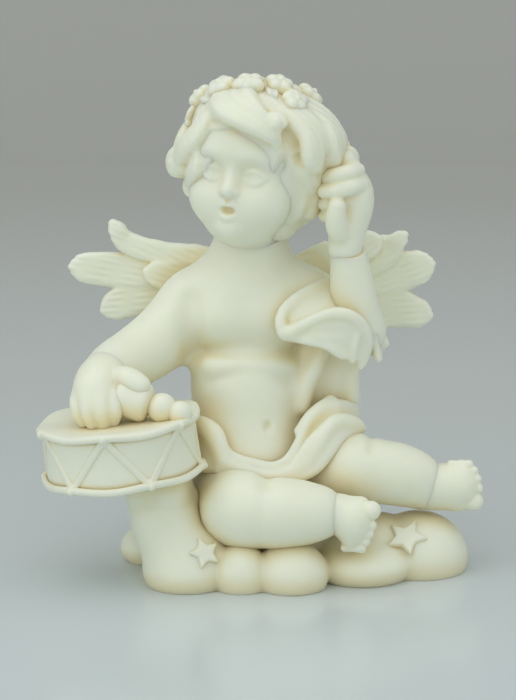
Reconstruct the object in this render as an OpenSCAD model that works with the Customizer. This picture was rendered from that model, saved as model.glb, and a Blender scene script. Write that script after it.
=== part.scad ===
// Seated cherub with a toy drum: a cast resin figurine in separate castings, pinned and glued.
// Millimetres. +Z is up, the figure faces -Y, and the origin is on the table under the figure.
// Right and left are the figure's own.

/* [Cloud base] */
// Height of the flat seat above the table
seat_h = 7; // [5.5:0.5:8.5]
// Radius of the middle of the base
base_core_r = 20; // [18:0.5:22]
// Radius of the pillar under the drum
pillar_r = 6.8; // [5:0.2:8]

/* [Body] */
// Width of the hips
hip_w = 28; // [25:0.5:31]
// Width of the waist
waist_w = 22.4; // [20:0.4:25]
// Width of the chest
chest_w = 25.6; // [23:0.4:28]
// Depth of the belly, front to back
belly_t = 21.4; // [19:0.4:24]
// Diameter of the neck
neck_d = 12.2; // [10.6:0.2:13.4]

/* [Limbs] */
// Diameter of the upper arms
upper_arm_d = 12; // [10:0.4:13.2]
// Diameter of the right wrist
right_wrist_d = 9.6; // [8:0.2:11]
// Diameter of the left wrist
left_wrist_d = 7.4; // [6:0.2:8.6]
// Diameter of the thighs
thigh_d = 18.4; // [16:0.4:20]
// Diameter of the calves
calf_d = 16; // [14:0.4:17.2]
// Diameter of the ankles
ankle_d = 10.4; // [9:0.2:12]
// Diameter of the big toes
big_toe_d = 4.2; // [3.4:0.2:4.8]
// Diameter of the fingers
finger_d = 3.2; // [2.6:0.1:3.6]

/* [Head] */
// Width of the skull
head_w = 24.8; // [22:0.4:27]
// Length of the skull, brow to back
head_l = 26.8; // [24:0.4:29]
// Height from chin to crown
head_h = 27.6; // [25:0.4:30]
// Turn of the face towards the right
head_turn = 18; // [0:1:30]
// Lean of the crown towards the left, chin to crown
head_lean = 3.2; // [0:0.2:5]
// Thickness of the hair
hair_t = 2.6; // [1.8:0.2:3.4]

/* [Wreath] */
// Number of flowers around the wreath
flower_count = 8; // [6:1:9]
// Diameter of a flower
flower_d = 7.2; // [6:0.2:8]
// Length of a leaf
leaf_l = 6; // [5:0.2:7.5]
// Diameter of the stem
stem_d = 2; // [1.4:0.1:2.6]

/* [Wings] */
// Half width of the widest feather
feather_w = 5.4; // [4.4:0.2:6]
// Thickness of a feather
feather_t = 2.2; // [1.4:0.1:3]

/* [Drapery] */
// Thickness of the cloth
cloth_t = 3.2; // [2.4:0.2:4]

/* [Drum] */
// Diameter of the shell
drum_d = 30; // [26:0.5:32]
// Height of the shell
drum_h = 9; // [7.6:0.2:10]
// Thickness of a drum skin
skin_t = 0.8; // [0.5:0.1:1.2]
// Thickness of a hoop
hoop_t = 1.6; // [1.2:0.1:2]
// Diameter of the tension cord
cord_d = 1.1; // [0.8:0.1:1.4]
// Number of points of the zigzag along one hoop
cord_points = 6; // [5:1:9]
// Clearance around the drum
drum_gap = 0.2; // [0.1:0.1:0.5]
// Slope of the drum, right side up
drum_tilt = 6; // [0:0.5:9]

/* [Drumsticks] */
// Clearance of the sticks in the hands
stick_gap = 0.1; // [0.05:0.05:0.2]
// Diameter of the shaft
stick_d = 2.6; // [2:0.1:3]
// Diameter of the barrel
barrel_d = 8; // [6.5:0.1:8.6]
// Diameter of the left stick's knob
knob_d = 6; // [5:0.1:6.6]
// Diameter of the beads
bead_d = 5.4; // [4.4:0.1:6]

/* [Stars] */
// Radius of the small star
small_star_r = 2.9; // [2:0.1:3.4]
// Radius of the large star
large_star_r = 4.2; // [3:0.1:4.8]
// Thickness of the stars
star_t = 1.6; // [1:0.1:2]

/* [Pins] */
// Diameter of the body pins
body_pin_d = 3; // [2:0.1:3.4]
// Length of the body pins
body_pin_l = 11; // [8:0.5:12]
// Diameter of the limb pins
limb_pin_d = 1.6; // [1:0.1:2]
// Length of the limb pins
limb_pin_l = 6; // [5:0.5:7]
// Radial clearance of a pin in its hole
pin_gap = 0.05; // [0.02:0.01:0.1]

/* [Hidden] */
big = 200;
fine = 30;

// Landmarks of the body
belly = [-2, 1, 28.6];
chest = [-1.8, 3.6, 50];
neck_top = [-1.5, 2, 71];
right_shoulder = [-14.5, 4, 51.5];
right_elbow = [-24.8, -4, 43.3];
right_forearm = [-29, -9.6, 42];
right_wrist = [-31, -14.5, 41];
left_shoulder = [11, 4, 52.5];
left_elbow = [19.6, -1, 47];
left_wrist = [16.9, -4, 66];
right_hip = [-5, 3, 15];
right_knee = [-4.6, -17, 14.6];
right_ankle = [14.5, -20, 14.6];
left_hip = [7.4, 4, 17.6];
left_knee = [19.5, -9.5, 19.6];
left_ankle = [34.7, -7.5, 17.3];
head_c = [-1.2, 0.4, 66.7 + head_h / 2];
wing_root = [6.2, 11, 51];
hair_lean = head_lean * 0.4;
hair_c = head_c + [hair_lean, 1.2, 1.8];
hair_r = [head_w / 2 + hair_t * 0.75, head_l / 2 + hair_t * 0.7, head_h / 2 + hair_t * 0.7 - 1.8];
hair_low = 16;

// The drum stands on its pillar, and its own frame has the bottom skin's underside at zero
drum_top_c = [-27.4, -16, 32];
drum_r = drum_d / 2;
drum_total_h = drum_h + 2 * skin_t;
pillar_c = [-19.2, -14.6, 0];

// Pins: a point on the joint, the way the pin runs, its diameter and its length
function body_pin(p, along) = [p, along, body_pin_d, body_pin_l];
function limb_pin(p, along) = [p, along, limb_pin_d, limb_pin_l];
neck_pin = body_pin(neck_top, [0, 0, 1]);
seat_pin = body_pin([0, 4, seat_h], [0, 0, 1]);
right_shoulder_pin = body_pin(right_shoulder + [1.6, 0, 0.4], right_shoulder - right_elbow);
left_shoulder_pin = body_pin(left_shoulder + [-0.6, 0, 0.2], left_shoulder - left_elbow);
right_hip_pin = body_pin([-6.8, -8.6, 16], [0, 1, 0]);
left_hip_pin = body_pin([11, -3, 18], [-1, 1, 0]);
right_wing_pin = limb_pin([-wing_root[0], wing_root[1] - 0.6, wing_root[2]], [-0.2, 1, 0]);
left_wing_pin = limb_pin([wing_root[0], wing_root[1] - 0.6, wing_root[2]], [0.2, 1, 0]);
pillar_pin = body_pin([pillar_c[0], pillar_c[1], seat_h], [0, 0, 1]);
right_wrist_pin = limb_pin(right_wrist, right_wrist - right_forearm);
left_wrist_pin = limb_pin(left_wrist, left_wrist - left_elbow);
right_ankle_pin = limb_pin(right_ankle, [1, 0, 0]);
left_ankle_pin = limb_pin(left_ankle, [1, 0, 0]);
all_body_pins = [
    neck_pin, seat_pin, right_shoulder_pin, left_shoulder_pin, right_hip_pin, left_hip_pin, pillar_pin
];
all_limb_pins = [
    right_wrist_pin, left_wrist_pin, right_ankle_pin, left_ankle_pin, right_wing_pin, left_wing_pin
];

// Vectors and curves
function unit(v) = v / norm(v);
function xyz(s) = [s[0], s[1], s[2]];
function up_of(s) = [s[5], s[6], s[7]];
function between(a, b, t) = a + (b - a) * t;
function curve(a, b, c, d, t) =
    0.5 * (2 * b + (c - a) * t + (2 * a - 5 * b + 4 * c - d) * t * t + (3 * b - a - 3 * c + d) * t * t * t);
function refine(s, n) = let (last = len(s) - 1) [
    for (i = [0:last - 1], k = [0:n - 1])
        curve(s[max(i - 1, 0)], s[i], s[i + 1], s[min(i + 2, last)], k / n),
    s[last]
];

// A closed skin over elliptical sections. A station is [x, y, z, half width, half depth], and the
// depth lies towards up. Stations with three more numbers carry their own up.
module loft(stations, up = [0, 0, 1], sides = 16, steps = 2) {
    s = refine(stations, steps);
    last = len(s) - 1;
    rings = [
        for (i = [0:last])
            let (
                along = unit(xyz(s[min(i + 1, last)]) - xyz(s[max(i - 1, 0)])),
                wide = unit(cross(along, len(s[i]) > 5 ? up_of(s[i]) : up)),
                deep = cross(wide, along)
            )
            for (j = [0:sides - 1])
                xyz(s[i]) + wide * s[i][3] * cos(360 * j / sides) + deep * s[i][4] * sin(360 * j / sides)
    ];
    start = len(rings);
    skin = [
        for (i = [0:last - 1], j = [0:sides - 1])
            let (a = i * sides + j, b = i * sides + (j + 1) % sides)
            each [[a, b, b + sides], [a, b + sides, a + sides]]
    ];
    ends = [
        for (j = [0:sides - 1])
            let (k = (j + 1) % sides, e = last * sides)
            each [[start, k, j], [start + 1, e + j, e + k]]
    ];
    polyhedron(concat(rings, [xyz(s[0]), xyz(s[last])]), concat(skin, ends));
}

// A rounded lump with half sizes r
module lump(c, r, sides = 10) {
    angles = [-84, -50, -18, 18, 50, 84];
    loft(
        [for (a = angles) [c[0], c[1], c[2] + r[2] * sin(a), r[0] * cos(a), r[1] * cos(a)]],
        [0, 1, 0], sides, 1
    );
}

// A short round-ended bar, as for a finger or a toe
module digit(a, b, d1, d2, facets = 8) {
    hull() {
        translate(a) sphere(d = d1, $fn = facets);
        translate(b) sphere(d = d2, $fn = facets);
    }
}

// Turns +Z to run along a direction
module towards(p, along) {
    v = unit(along);
    translate(p) rotate([0, acos(v[2]), atan2(v[1], v[0])]) children();
}

module below_seat() {
    translate([-big / 2, -big / 2, seat_h - big]) cube(big);
}

module pins(list, gap = 0) {
    for (p = list)
        towards(p[0], p[1]) cylinder(d = p[2] + 2 * gap, h = p[3], center = true, $fn = fine);
}

module pin_holes(list) {
    pins(list, pin_gap);
}

// Body forms, before they are fitted to each other
module torso_form() {
    loft([
        [0, 5, seat_h, hip_w / 2 - 1.6, belly_t / 2 - 0.4],
        [-0.5, 4, 13, hip_w / 2 + 0.4, belly_t / 2 + 1.2],
        [-0.9, 1.8, 19.5, hip_w / 2 - 0.8, belly_t / 2 + 2],
        [-1.2, 0.9, 23.5, hip_w / 2 - 1.4, belly_t / 2 + 1.8],
        [belly[0], belly[1], belly[2], waist_w / 2 + 0.7, belly_t / 2 + 0.4],
        [-2, 1.5, 35.6, waist_w / 2 + 0.2, belly_t / 2 - 0.8],
        [-2, 1.8, 40.4, waist_w / 2 + 0.5, belly_t / 2 - 1.2],
        [-2, 3.3, 44.2, chest_w / 2 - 1.4, belly_t / 2 - 2.4],
        [chest[0], chest[1], chest[2], chest_w / 2 - 0.2, belly_t / 2 - 1.7],
        [-1.7, 4.4, 55, chest_w / 2, belly_t / 2 - 3],
        [-1.6, 4.4, 58.6, chest_w / 2 - 2.4, belly_t / 2 - 4],
        [-1.5, 3.8, 61.2, neck_d / 2 + 1.7, neck_d / 2 + 0.5],
        [-1.5, 2.8, 65, neck_d / 2, neck_d / 2 - 0.2],
        [neck_top[0], neck_top[1], neck_top[2], neck_d / 2 - 0.2, neck_d / 2 - 0.3]
    ], [0, 1, 0], 20, 2);
}

module head_form() {
    face_back = [sin(head_turn), cos(head_turn), 0];
    // Share of the head's height, then its offset forwards and its share of the width and length
    shape = [
        [0, 5.6, 0.26], [0.07, 4.6, 0.58], [0.2, 2.4, 0.84], [0.35, 0.9, 0.96],
        [0.53, -0.2, 1], [0.7, -0.8, 0.96], [0.85, -1.4, 0.76], [0.95, -1.8, 0.44], [1, -2, 0.12]
    ];
    chin = head_c - [0, 0, head_h / 2];
    loft([
        for (s = shape)
            let (p = chin + [head_lean * (s[0] - 0.5), 0, s[0] * head_h] - face_back * s[1])
            [p[0], p[1], p[2], s[2] * head_w / 2, s[2] * head_l / 2]
    ], face_back, 20, 2);
    nose = head_c + [0, 0, -3.4] - face_back * (head_l / 2 + 0.2);
    lump(nose, [1.5, 1.8, 1.7], 10);
}

module hair_cap() {
    loft([
        for (a = [-62, -40, -16, 10, 32, 52, 70, 85])
            let (z = hair_c[2] + (a < 0 ? hair_low : hair_r[2]) * sin(a))
            [hair_c[0] + hair_lean * sin(a), hair_c[1], z, hair_r[0] * cos(a), hair_r[1] * cos(a)]
    ], [0, 1, 0], 20, 2);
}

// Main locks below the wreath: points of [bearing from the face, height, lift off the cap], and a half width
hair_locks = [
    [[[-24, 56, -0.4], [0, 46, 0.8], [18, 32, 1.4], [38, 12, 0.4]], 3.8],
    [[[-50, 46, -0.4], [-42, 32, 0.4], [-44, 14, 1], [-64, -6, 1.2]], 3.4],
    [[[-86, 22, -0.4], [-80, 8, 0.8], [-92, -10, 1.6]], 3.6],
    [[[44, 40, -0.4], [54, 26, 0.6], [60, 12, 1], [64, 0, 0.4]], 3.8],
    [[[58, -12, -0.8], [70, -28, 0], [88, -44, 0]], 3.2],
    [[[132, 0, 0], [126, -16, 1], [131, -38, 0.8]], 4.4],
    [[[165, -4, 0], [172, -18, 1], [166, -40, 0.8]], 4.6],
    [[[204, -4, 0], [198, -18, 1], [206, -40, 0.8]], 4.6],
    [[[236, 0, 0], [230, -18, 1], [238, -38, 0.8]], 4.2]
];
lock_t = 2;
function cap_way(p) = let (a = p[0] - head_turn) [cos(p[1]) * sin(a), -cos(p[1]) * cos(a), sin(p[1])];
function cap_size(p) = [hair_r[0], hair_r[1], p[1] < 0 ? hair_low : hair_r[2]];
function cap_out(p) = unit(over(cap_way(p), cap_size(p)));
function on_cap(p) = hair_c + [hair_lean * sin(p[1]), 0, 0] + times(cap_way(p), cap_size(p)) + cap_out(p) * p[2];

module lock(path, wide) {
    last = len(path) - 1;
    loft([
        for (i = [0:last])
            let (full = i == 0 ? 0.6 : (i == last ? 0.4 : 1))
            concat(on_cap(path[i]), [wide * full, lock_t * full], cap_out(path[i]))
    ], sides = 8);
}

module hair_form() {
    difference() {
        hair_cap();
        // Opening for the face, below the fringe
        translate(head_c) rotate([0, 0, -head_turn]) translate([-head_w / 2 + 0.6, -big, -big + 4.4])
            cube([head_w - 1.2, big - 3.6, big]);
    }
    // Side curls, fringe locks and the mass behind the left ear
    right_curls = [[-3, 0.4, -1.2, 3.3], [-1.4, 0.8, 3.2, 2.8], [-1.4, 2, -5.6, 2.7]];
    for (c = right_curls)
        lump(head_c + [c[0] - head_w / 2 + 1.6, c[1], c[2]], [c[3], c[3], c[3]]);
    left_curls = [[0.4, 1.4, 0.6, 4], [-1.6, 4, -6, 4.6], [-4.2, 3.6, -10.4, 4], [0.6, 4, 5.6, 3.8]];
    for (c = left_curls)
        lump(head_c + [c[0] + head_w / 2 + 1, c[1], c[2]], [c[3], c[3], c[3]]);
    for (l = hair_locks)
        lock(l[0], l[1]);
}

module right_arm_form() {
    r = upper_arm_d / 2;
    w = right_wrist_d / 2;
    loft([
        [-7, 4.4, 53, r - 1, r - 1],
        [right_shoulder[0], right_shoulder[1], right_shoulder[2], r + 0.4, r + 0.4],
        [-20, 1.4, 47.6, r, r],
        [right_elbow[0], right_elbow[1], right_elbow[2], r, r],
        [right_forearm[0], right_forearm[1], right_forearm[2], between(r, w, 0.5), between(r, w, 0.5)],
        [right_wrist[0], right_wrist[1], right_wrist[2], w, w]
    ], [0, 0, 1], 16, 2);
}

module left_arm_form() {
    r = upper_arm_d / 2;
    w = left_wrist_d / 2;
    loft([
        [5, 5, 54.5, r - 1.4, r - 1.4],
        [left_shoulder[0], left_shoulder[1], left_shoulder[2], r + 0.2, r + 0.2],
        [16, 1.8, 49.4, r - 0.3, r - 0.3],
        [left_elbow[0], left_elbow[1], left_elbow[2], r - 0.6, r - 0.6],
        [22.4, -2.6, 45.6, r - 2.6, r - 2.6],
        [23.4, -3.2, 45, 0.8, 0.8]
    ], [0, 0, 1], 16, 2);
    loft([
        [20.2, -1.4, 43.6, 1, 1],
        [20, -1.6, 45, r - 2.2, r - 2.2],
        [19.2, -2.4, 50, r - 0.7, r - 0.7],
        [18.2, -3.2, 56, r - 1.2, r - 1.2],
        [17.3, -3.8, 62, w + 0.4, w + 0.4],
        [left_wrist[0], left_wrist[1], left_wrist[2], w, w]
    ], [0, 1, 0], 16, 2);
}

module right_leg_form() {
    t = thigh_d / 2;
    c = calf_d / 2;
    a = ankle_d / 2;
    loft([
        [right_hip[0], right_hip[1], right_hip[2], t - 0.2, t - 0.2],
        [-5.2, -6, 15.4, t - 0.6, t - 0.6],
        [-4.8, -12, 15.2, t - 1.4, t - 1.4],
        [right_knee[0], right_knee[1], right_knee[2], t - 2, t - 2],
        [-4.4, -21.6, 14.4, t - 4.6, t - 4.6],
        [-4.4, -23.8, 14.2, 1, 1]
    ], [0, 0, 1], 16, 2);
    loft([
        [-10.6, -18.2, 14.6, 1, 1],
        [-9, -18.4, 14.7, c - 4, c - 4],
        [-5.6, -18.8, 14.8, c - 1.2, c - 1.2],
        [-2, -19, 15, c - 0.7, c - 0.7],
        [1, -19.4, 14.6, c - 1.1, c - 1.1],
        [4.6, -19.8, 14.7, c - 0.9, c - 0.9],
        [8.4, -20, 14.8, c - 1.6, c - 1.6],
        [11.4, -20, 14.8, between(c, a, 0.8), between(c, a, 0.8)],
        [right_ankle[0], right_ankle[1], right_ankle[2], a, a]
    ], [0, 0, 1], 16, 2);
}

module left_leg_form() {
    t = thigh_d / 2;
    c = calf_d / 2 - 0.8;
    a = ankle_d / 2 - 0.5;
    loft([
        [left_hip[0], left_hip[1], left_hip[2], t - 1, t - 1],
        [11, -2, 18, t - 0.2, t - 0.2],
        [16, -7, 19, t - 0.8, t - 0.8],
        [left_knee[0], left_knee[1], left_knee[2], t - 2.2, t - 2.2],
        [22.4, -11.6, 19.6, t - 5, t - 5],
        [23.4, -12.2, 19.6, 1, 1]
    ], [0, 0, 1], 16, 2);
    loft([
        [14.6, -9, 20, 1.4, 1.4],
        [17.6, -9, 20.2, c - 1.6, c - 1.6],
        [22, -8.8, 19.8, c + 0.2, c + 0.2],
        [27.6, -8.2, 19.4, c, c],
        [32, -7.7, 18, between(c, a, 0.6), between(c, a, 0.6)],
        [left_ankle[0], left_ankle[1], left_ankle[2], a, a]
    ], [0, 0, 1], 16, 2);
}

// Toes in a row from a first to a last root, the first being the big toe
module toes(first_root, last_root, reach) {
    for (i = [0:4]) {
        root = between(first_root, last_root, i / 4);
        d = big_toe_d * (i == 0 ? 1 : 0.84 - 0.05 * i);
        tip = root + reach * (i == 0 ? 1 : 0.84 - 0.08 * i);
        digit(root - reach * 0.5, root, d, d);
        digit(root, tip, d, d * 0.84);
    }
}

module right_foot_form() {
    a = ankle_d / 2;
    loft([
        [right_ankle[0] - 1.6, right_ankle[1], right_ankle[2], a - 0.5, a - 0.5],
        [right_ankle[0] + 0.4, right_ankle[1] - 0.1, right_ankle[2], a - 0.3, a - 0.3],
        [17.4, -20.6, 14.4, a - 0.7, a],
        [19.6, -21, 15, a - 1.6, a - 1],
        [21.4, -21.2, 15.8, a - 3, a - 2.8]
    ], [0, 0, 1], 14, 2);
    toes([21, -21.2, 17.2], [16.9, -23, 10.8], [2.5, -0.8, -0.9]);
}

module left_foot_form() {
    a = ankle_d / 2 - 0.5;
    loft([
        [left_ankle[0] - 1.6, left_ankle[1], left_ankle[2] + 0.2, a - 0.5, a - 0.5],
        [left_ankle[0] + 0.4, left_ankle[1], left_ankle[2], a - 0.3, a - 0.3],
        [37.4, -7.8, 17.5, a - 0.8, a + 0.4],
        [40, -8, 18, a - 1.4, a + 0.3],
        [42, -8.1, 18.1, a - 2.8, a - 0.8]
    ], [0, 0, 1], 14, 2);
    toes([40.8, -8.8, 14.7], [41.8, -7.8, 21.2], [2.7, -0.2, 0.1]);
}

// A fist: a palm, four bent fingers in a row and a thumb. roots runs along the knuckles.
module fist(roots, bend, curl, thumb) {
    for (i = [0:3]) {
        root = between(roots[0], roots[1], i / 3);
        d = finger_d * (1 - 0.06 * i);
        digit(root, root + bend, d, d);
        digit(root + bend, root + bend + curl, d, d * 0.9);
    }
    digit(thumb[0], thumb[1], finger_d * 1.1, finger_d * 1.05);
    digit(thumb[1], thumb[2], finger_d * 1.05, finger_d * 0.9);
}

module right_hand_form() {
    w = right_wrist_d / 2;
    loft([
        [right_wrist[0] + 0.5, right_wrist[1] + 1.4, right_wrist[2] + 0.2, w - 0.5, w - 0.5],
        [right_wrist[0], right_wrist[1] - 0.2, right_wrist[2], w - 0.2, w - 0.2],
        [-31.2, -16.8, 40.8, w + 0.6, w + 0.5],
        [-31.2, -19.2, 40.2, w + 0.6, w + 0.3],
        [-31, -21.6, 39, w - 0.4, w - 1],
        [-30.8, -23, 38, w - 3, w - 3.4]
    ], [0, 0, 1], 14, 2);
    fist([[-34.8, -20.6, 40.6], [-27.6, -20.8, 40.8]], [0, -2.2, -2.2], [0.3, 0.6, -3.2],
        [[-27.4, -17, 42.6], [-25, -19.8, 43.4], [-23.6, -21.8, 42.6]]);
}

module left_hand_form() {
    w = left_wrist_d / 2;
    loft([
        [left_wrist[0], left_wrist[1], left_wrist[2] - 1.4, w - 0.4, w - 0.4],
        [left_wrist[0], left_wrist[1], left_wrist[2] + 0.4, w - 0.2, w - 0.2],
        [17.2, -4, 69, w + 0.5, w + 0.2],
        [17.9, -3.6, 73, w + 1, w + 0.4],
        [18, -3.2, 76.4, w + 0.2, w],
        [17.8, -3, 78.6, w - 2, w - 2]
    ], [0, 1, 0], 14, 2);
    fist([[18.6, -5.4, 79], [19.4, -6, 72.6]], [-2.6, -2, 0.2], [-2.6, 1, -0.2],
        [[17, -6.4, 68.4], [15, -8, 70.4], [14.6, -8, 74]]);
}

// Cloth: stations carry the outward side of the sheet
module hip_drape_form() {
    t = cloth_t / 2;
    loft([
        [-14.4, -4, 26.6, 1, t * 0.5, -1, -0.5, 0.6],
        [-13, -8, 26.6, 4.6, t, -0.8, -0.8, 0.6],
        [-9.6, -12.2, 25.4, 4.8, t, -0.4, -1, 0.6],
        [-4, -15, 22.8, 3, t, 0, -1, 0.7],
        [2, -15.6, 21.6, 2.6, t, 0, -1, 0.7],
        [8, -14.8, 22.8, 3.4, t, 0.2, -1, 0.6],
        [13.6, -11.6, 26.4, 5.4, t, 0.5, -1, 0.5],
        [18, -5.6, 27.6, 5.4, t, 1, -0.6, 0.4],
        [17.2, 3, 22.6, 7, t + 0.6, 1, 0.2, 0.2],
        [12.4, 11.2, 18.2, 9.2, t + 0.8, 0.8, 1, 0.2],
        [2, 15, 16.4, 8.8, t + 1, 0, 1, 0.2],
        [-9, 12.6, 15.8, 8.2, t + 0.8, -0.7, 1, 0.2],
        [-14.8, 6, 17.2, 6.4, t + 0.6, -1, 0.4, 0.2],
        [-15.6, 1, 20.8, 4.2, t * 0.8, -1, 0, 0.4],
        [-15.6, -1.4, 23.4, 1, t * 0.5, -1, 0, 0.4]
    ], [0, 0, 1], 12, 3);
}

module mantle_form() {
    t = cloth_t / 2;
    loft([
        [14.2, 4.8, 25.6, 6, t + 1.6, 0.2, -1, 0],
        [14.4, 4.4, 28, 6.4, t + 2, 0.2, -1, 0],
        [14.6, 3.8, 34, 6.2, t + 2, 0.1, -1, 0],
        [14.8, 3.8, 41, 6, t + 2, 0.1, -1, 0],
        [15.4, 4.4, 47, 5.2, t + 1.6, 0.1, -1, 0],
        [15.8, 5, 51, 3, t, 0.1, -1, 0]
    ], [0, 1, 0], 16, 2);
}

module arm_drape_form() {
    t = cloth_t / 2;
    loft([
        [15, 2.4, 57.4, 1.4, t * 0.6, -0.4, -1, 0.8],
        [11.6, -2.4, 56, 3.6, t, -0.6, -1, 0.6],
        [7.4, -6, 52.6, 3.6, t, -0.8, -1, 0.2],
        [6.6, -8.4, 49, 2.8, t, -0.4, -1, 0],
        [11, -9.4, 47.4, 3.6, t, 0, -1, 0.1],
        [16, -9, 47.6, 4.8, t, 0.1, -1, 0],
        [20.4, -7.4, 46, 4.4, t, 0.4, -1, 0],
        [21.4, -5, 42.4, 3, t * 0.9, 0.8, -1, 0],
        [20.8, -3.8, 39.8, 0.8, t * 0.5, 0.8, -1, 0]
    ], [0, -1, 0], 12, 3);
}

// One feather from its root to its tip, with its widest place past the middle
module feather(root, tip, half_w, turn = 0) {
    flat = [sin(turn), cos(turn), 0];
    widths = [0.5, 0.75, 0.95, 1, 0.94, 0.72, 0.2];
    last = len(widths) - 1;
    loft([
        for (i = [0:last])
            let (p = between(root, tip, i / last) + flat * 1.6 * sin(180 * i / last))
            [
                p[0], p[1], p[2], half_w * widths[i],
                feather_t / 2 * (i == last ? 0.4 : 1)
            ]
    ], flat, 8, 2);
}

// Feather roots and tips for the figure's left wing, and the share of the widest feather
left_feathers = [
    [[7, 11, 55], [17, 13.4, 65.6], 0.9], [[9, 12, 56], [24.6, 14.6, 65], 0.86],
    [[9, 13, 54], [30, 15.6, 64], 0.9], [[9, 12.4, 52], [35.6, 16, 59], 1],
    [[8.6, 11.6, 49], [36, 15.6, 47.6], 1], [[8, 11, 46.6], [27.6, 13.6, 42], 0.84],
    [[5.6, 9.6, 51], [20, 12.4, 52], 1]
];
right_feathers = [
    [[-8, 11, 54.4], [-29.2, 14.6, 65.2], 0.66], [[-8, 12.2, 54], [-38.6, 15.6, 58.4], 1],
    [[-8, 11.6, 50], [-32.4, 14.8, 47.4], 1], [[-7.6, 11, 47], [-25, 13, 40.6], 0.84],
    [[-5.6, 9.6, 51], [-20, 12, 53], 1]
];

module wing_form(feathers, side) {
    for (f = feathers)
        feather(f[0], f[1], feather_w * f[2]);
    lump([side * wing_root[0], wing_root[1], wing_root[2]], [4.6, 3.4, 6.4]);
}

// Wreath: a ring that lies on the hair and leans back. A place on it is an angle around the ring.
wreath_tilt = 30;
wreath_spread = 48;
wreath_lift = 0.5;
wreath_axis = [0, sin(wreath_tilt), cos(wreath_tilt)];
wreath_back = [0, cos(wreath_tilt), -sin(wreath_tilt)];
function times(a, b) = [a[0] * b[0], a[1] * b[1], a[2] * b[2]];
function over(a, b) = [a[0] / b[0], a[1] / b[1], a[2] / b[2]];
function on_ball(a, spread = wreath_spread) =
    wreath_axis * cos(spread) + sin(spread) * ([cos(a), 0, 0] + wreath_back * sin(a));
function wreath_out(a, spread = wreath_spread) = unit(over(on_ball(a, spread), hair_r));
function wreath_at(a, spread = wreath_spread) =
    let (b = on_ball(a, spread))
    hair_c + [hair_lean * b[2], 0, 0] + times(b, hair_r) + wreath_out(a, spread) * wreath_lift;

module flower() {
    petal = flower_d * 0.29;
    for (k = [0:4])
        rotate([0, 0, 72 * k]) hull() {
            sphere(r = petal * 0.8, $fn = 6);
            translate([flower_d / 2 - petal, 0, petal * 0.5]) sphere(r = petal, $fn = 6);
        }
}

module wreath_flowers_form() {
    for (i = [0:flower_count - 1]) {
        a = 360 * i / flower_count + 18;
        towards(wreath_at(a), wreath_out(a)) flower();
    }
}

// A leaf lies on the hair and points away from the ring, to its outside or its inside
module leaf(a, side) {
    widths = [0.06, 0.24, 0.3, 0.2, 0.05];
    turn = leaf_l / hair_r[0] * 180 / PI;
    loft([
        for (i = [0:4])
            let (
                spread = wreath_spread + side * turn * i / 4,
                p = wreath_at(a, spread),
                out = wreath_out(a, spread)
            )
            [p[0], p[1], p[2], leaf_l * widths[i], 0.7, out[0], out[1], out[2]]
    ], [0, 0, 1], 6, 1);
}

// The stem runs round as a ring, with a pair of leaves between two flowers
module wreath_leaves_form() {
    steps = 20;
    for (i = [0:steps - 1])
        digit(wreath_at(360 * i / steps), wreath_at(360 * (i + 1) / steps), stem_d, stem_d, 6);
    for (i = [0:flower_count - 1], side = [-1, 1])
        leaf(360 * (i + 0.5) / flower_count + 18, side);
}

// Drum frame: origin at the middle of the bottom skin's underside, +Z along the drum
module in_drum() {
    translate(drum_top_c) rotate([0, -drum_tilt, 0]) translate([0, 0, -drum_total_h]) children();
}

// Everything above the drum's bottom or top plane
module above_drum_plane(z) {
    in_drum() translate([-big / 2, -big / 2, z]) cube(big);
}

// The room that the drum takes up, with its hoops and a clearance, and as far below it as asked
module drum_room(below = drum_gap) {
    in_drum() translate([0, 0, -below])
        cylinder(r = drum_r + hoop_t + drum_gap, h = below + drum_total_h + drum_gap, $fn = fine);
}

module below_drum_top() {
    in_drum() translate([0, 0, drum_total_h - big]) cylinder(r = drum_r + hoop_t, h = big, $fn = fine);
}

module drum_shell_form() {
    in_drum() translate([0, 0, skin_t]) cylinder(r = drum_r, h = drum_h, $fn = fine);
}

module drum_skin(z) {
    in_drum() translate([0, 0, z]) cylinder(r = drum_r, h = skin_t, $fn = fine);
}

module drum_hoop(z) {
    in_drum() translate([0, 0, z]) rotate_extrude($fn = fine)
        translate([drum_r + hoop_t / 2, 0]) circle(d = hoop_t, $fn = 24);
}

hoop_low = hoop_t / 2;
hoop_high = drum_total_h - hoop_t / 2;

// The zigzag cord is bedded a little in the shell and stops at the hoops
module drum_cord_form() {
    r = drum_r + cord_d * 0.3;
    low = hoop_low + hoop_t / 2;
    high = hoop_high - hoop_t / 2;
    function corner(i) =
        let (a = 180 * i / cord_points + 9) [r * cos(a), r * sin(a), i % 2 == 0 ? low : high];
    function way(i, t) =
        let (a = 180 * (i + t) / cord_points + 9, z = between(corner(i)[2], corner(i + 1)[2], t))
        [r * cos(a), r * sin(a), z];
    in_drum()
        for (i = [0:2 * cord_points - 1], t = [0, 0.5])
            digit(way(i, t), way(i, t + 0.5), cord_d, cord_d, 6);
}

// A turned stick along +Z: shaft, barrel, bead and end bead, each place given along the axis
module turned_stick(length, barrel_z, barrel, bead_z) {
    r = stick_d / 2;
    rotate_extrude($fn = fine)
        intersection() {
            union() {
                square([r, length]);
                translate([0, barrel_z]) barrel_outline(barrel);
                for (z = bead_z)
                    translate([0, z]) circle(d = bead_d, $fn = 32);
            }
            translate([0, -big / 2]) square(big);
        }
}

// A barrel's outline: a straight side with rounded ends
module barrel_outline(d) {
    r = d / 2;
    round_r = d * 0.22;
    half = d * 0.46;
    translate([-r, -half + round_r]) square([2 * r, 2 * (half - round_r)]);
    translate([-(r - round_r), -half]) square([2 * (r - round_r), 2 * half]);
    for (z = [-1, 1])
        translate([r - round_r, z * (half - round_r)]) circle(r = round_r, $fn = 32);
}

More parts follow.
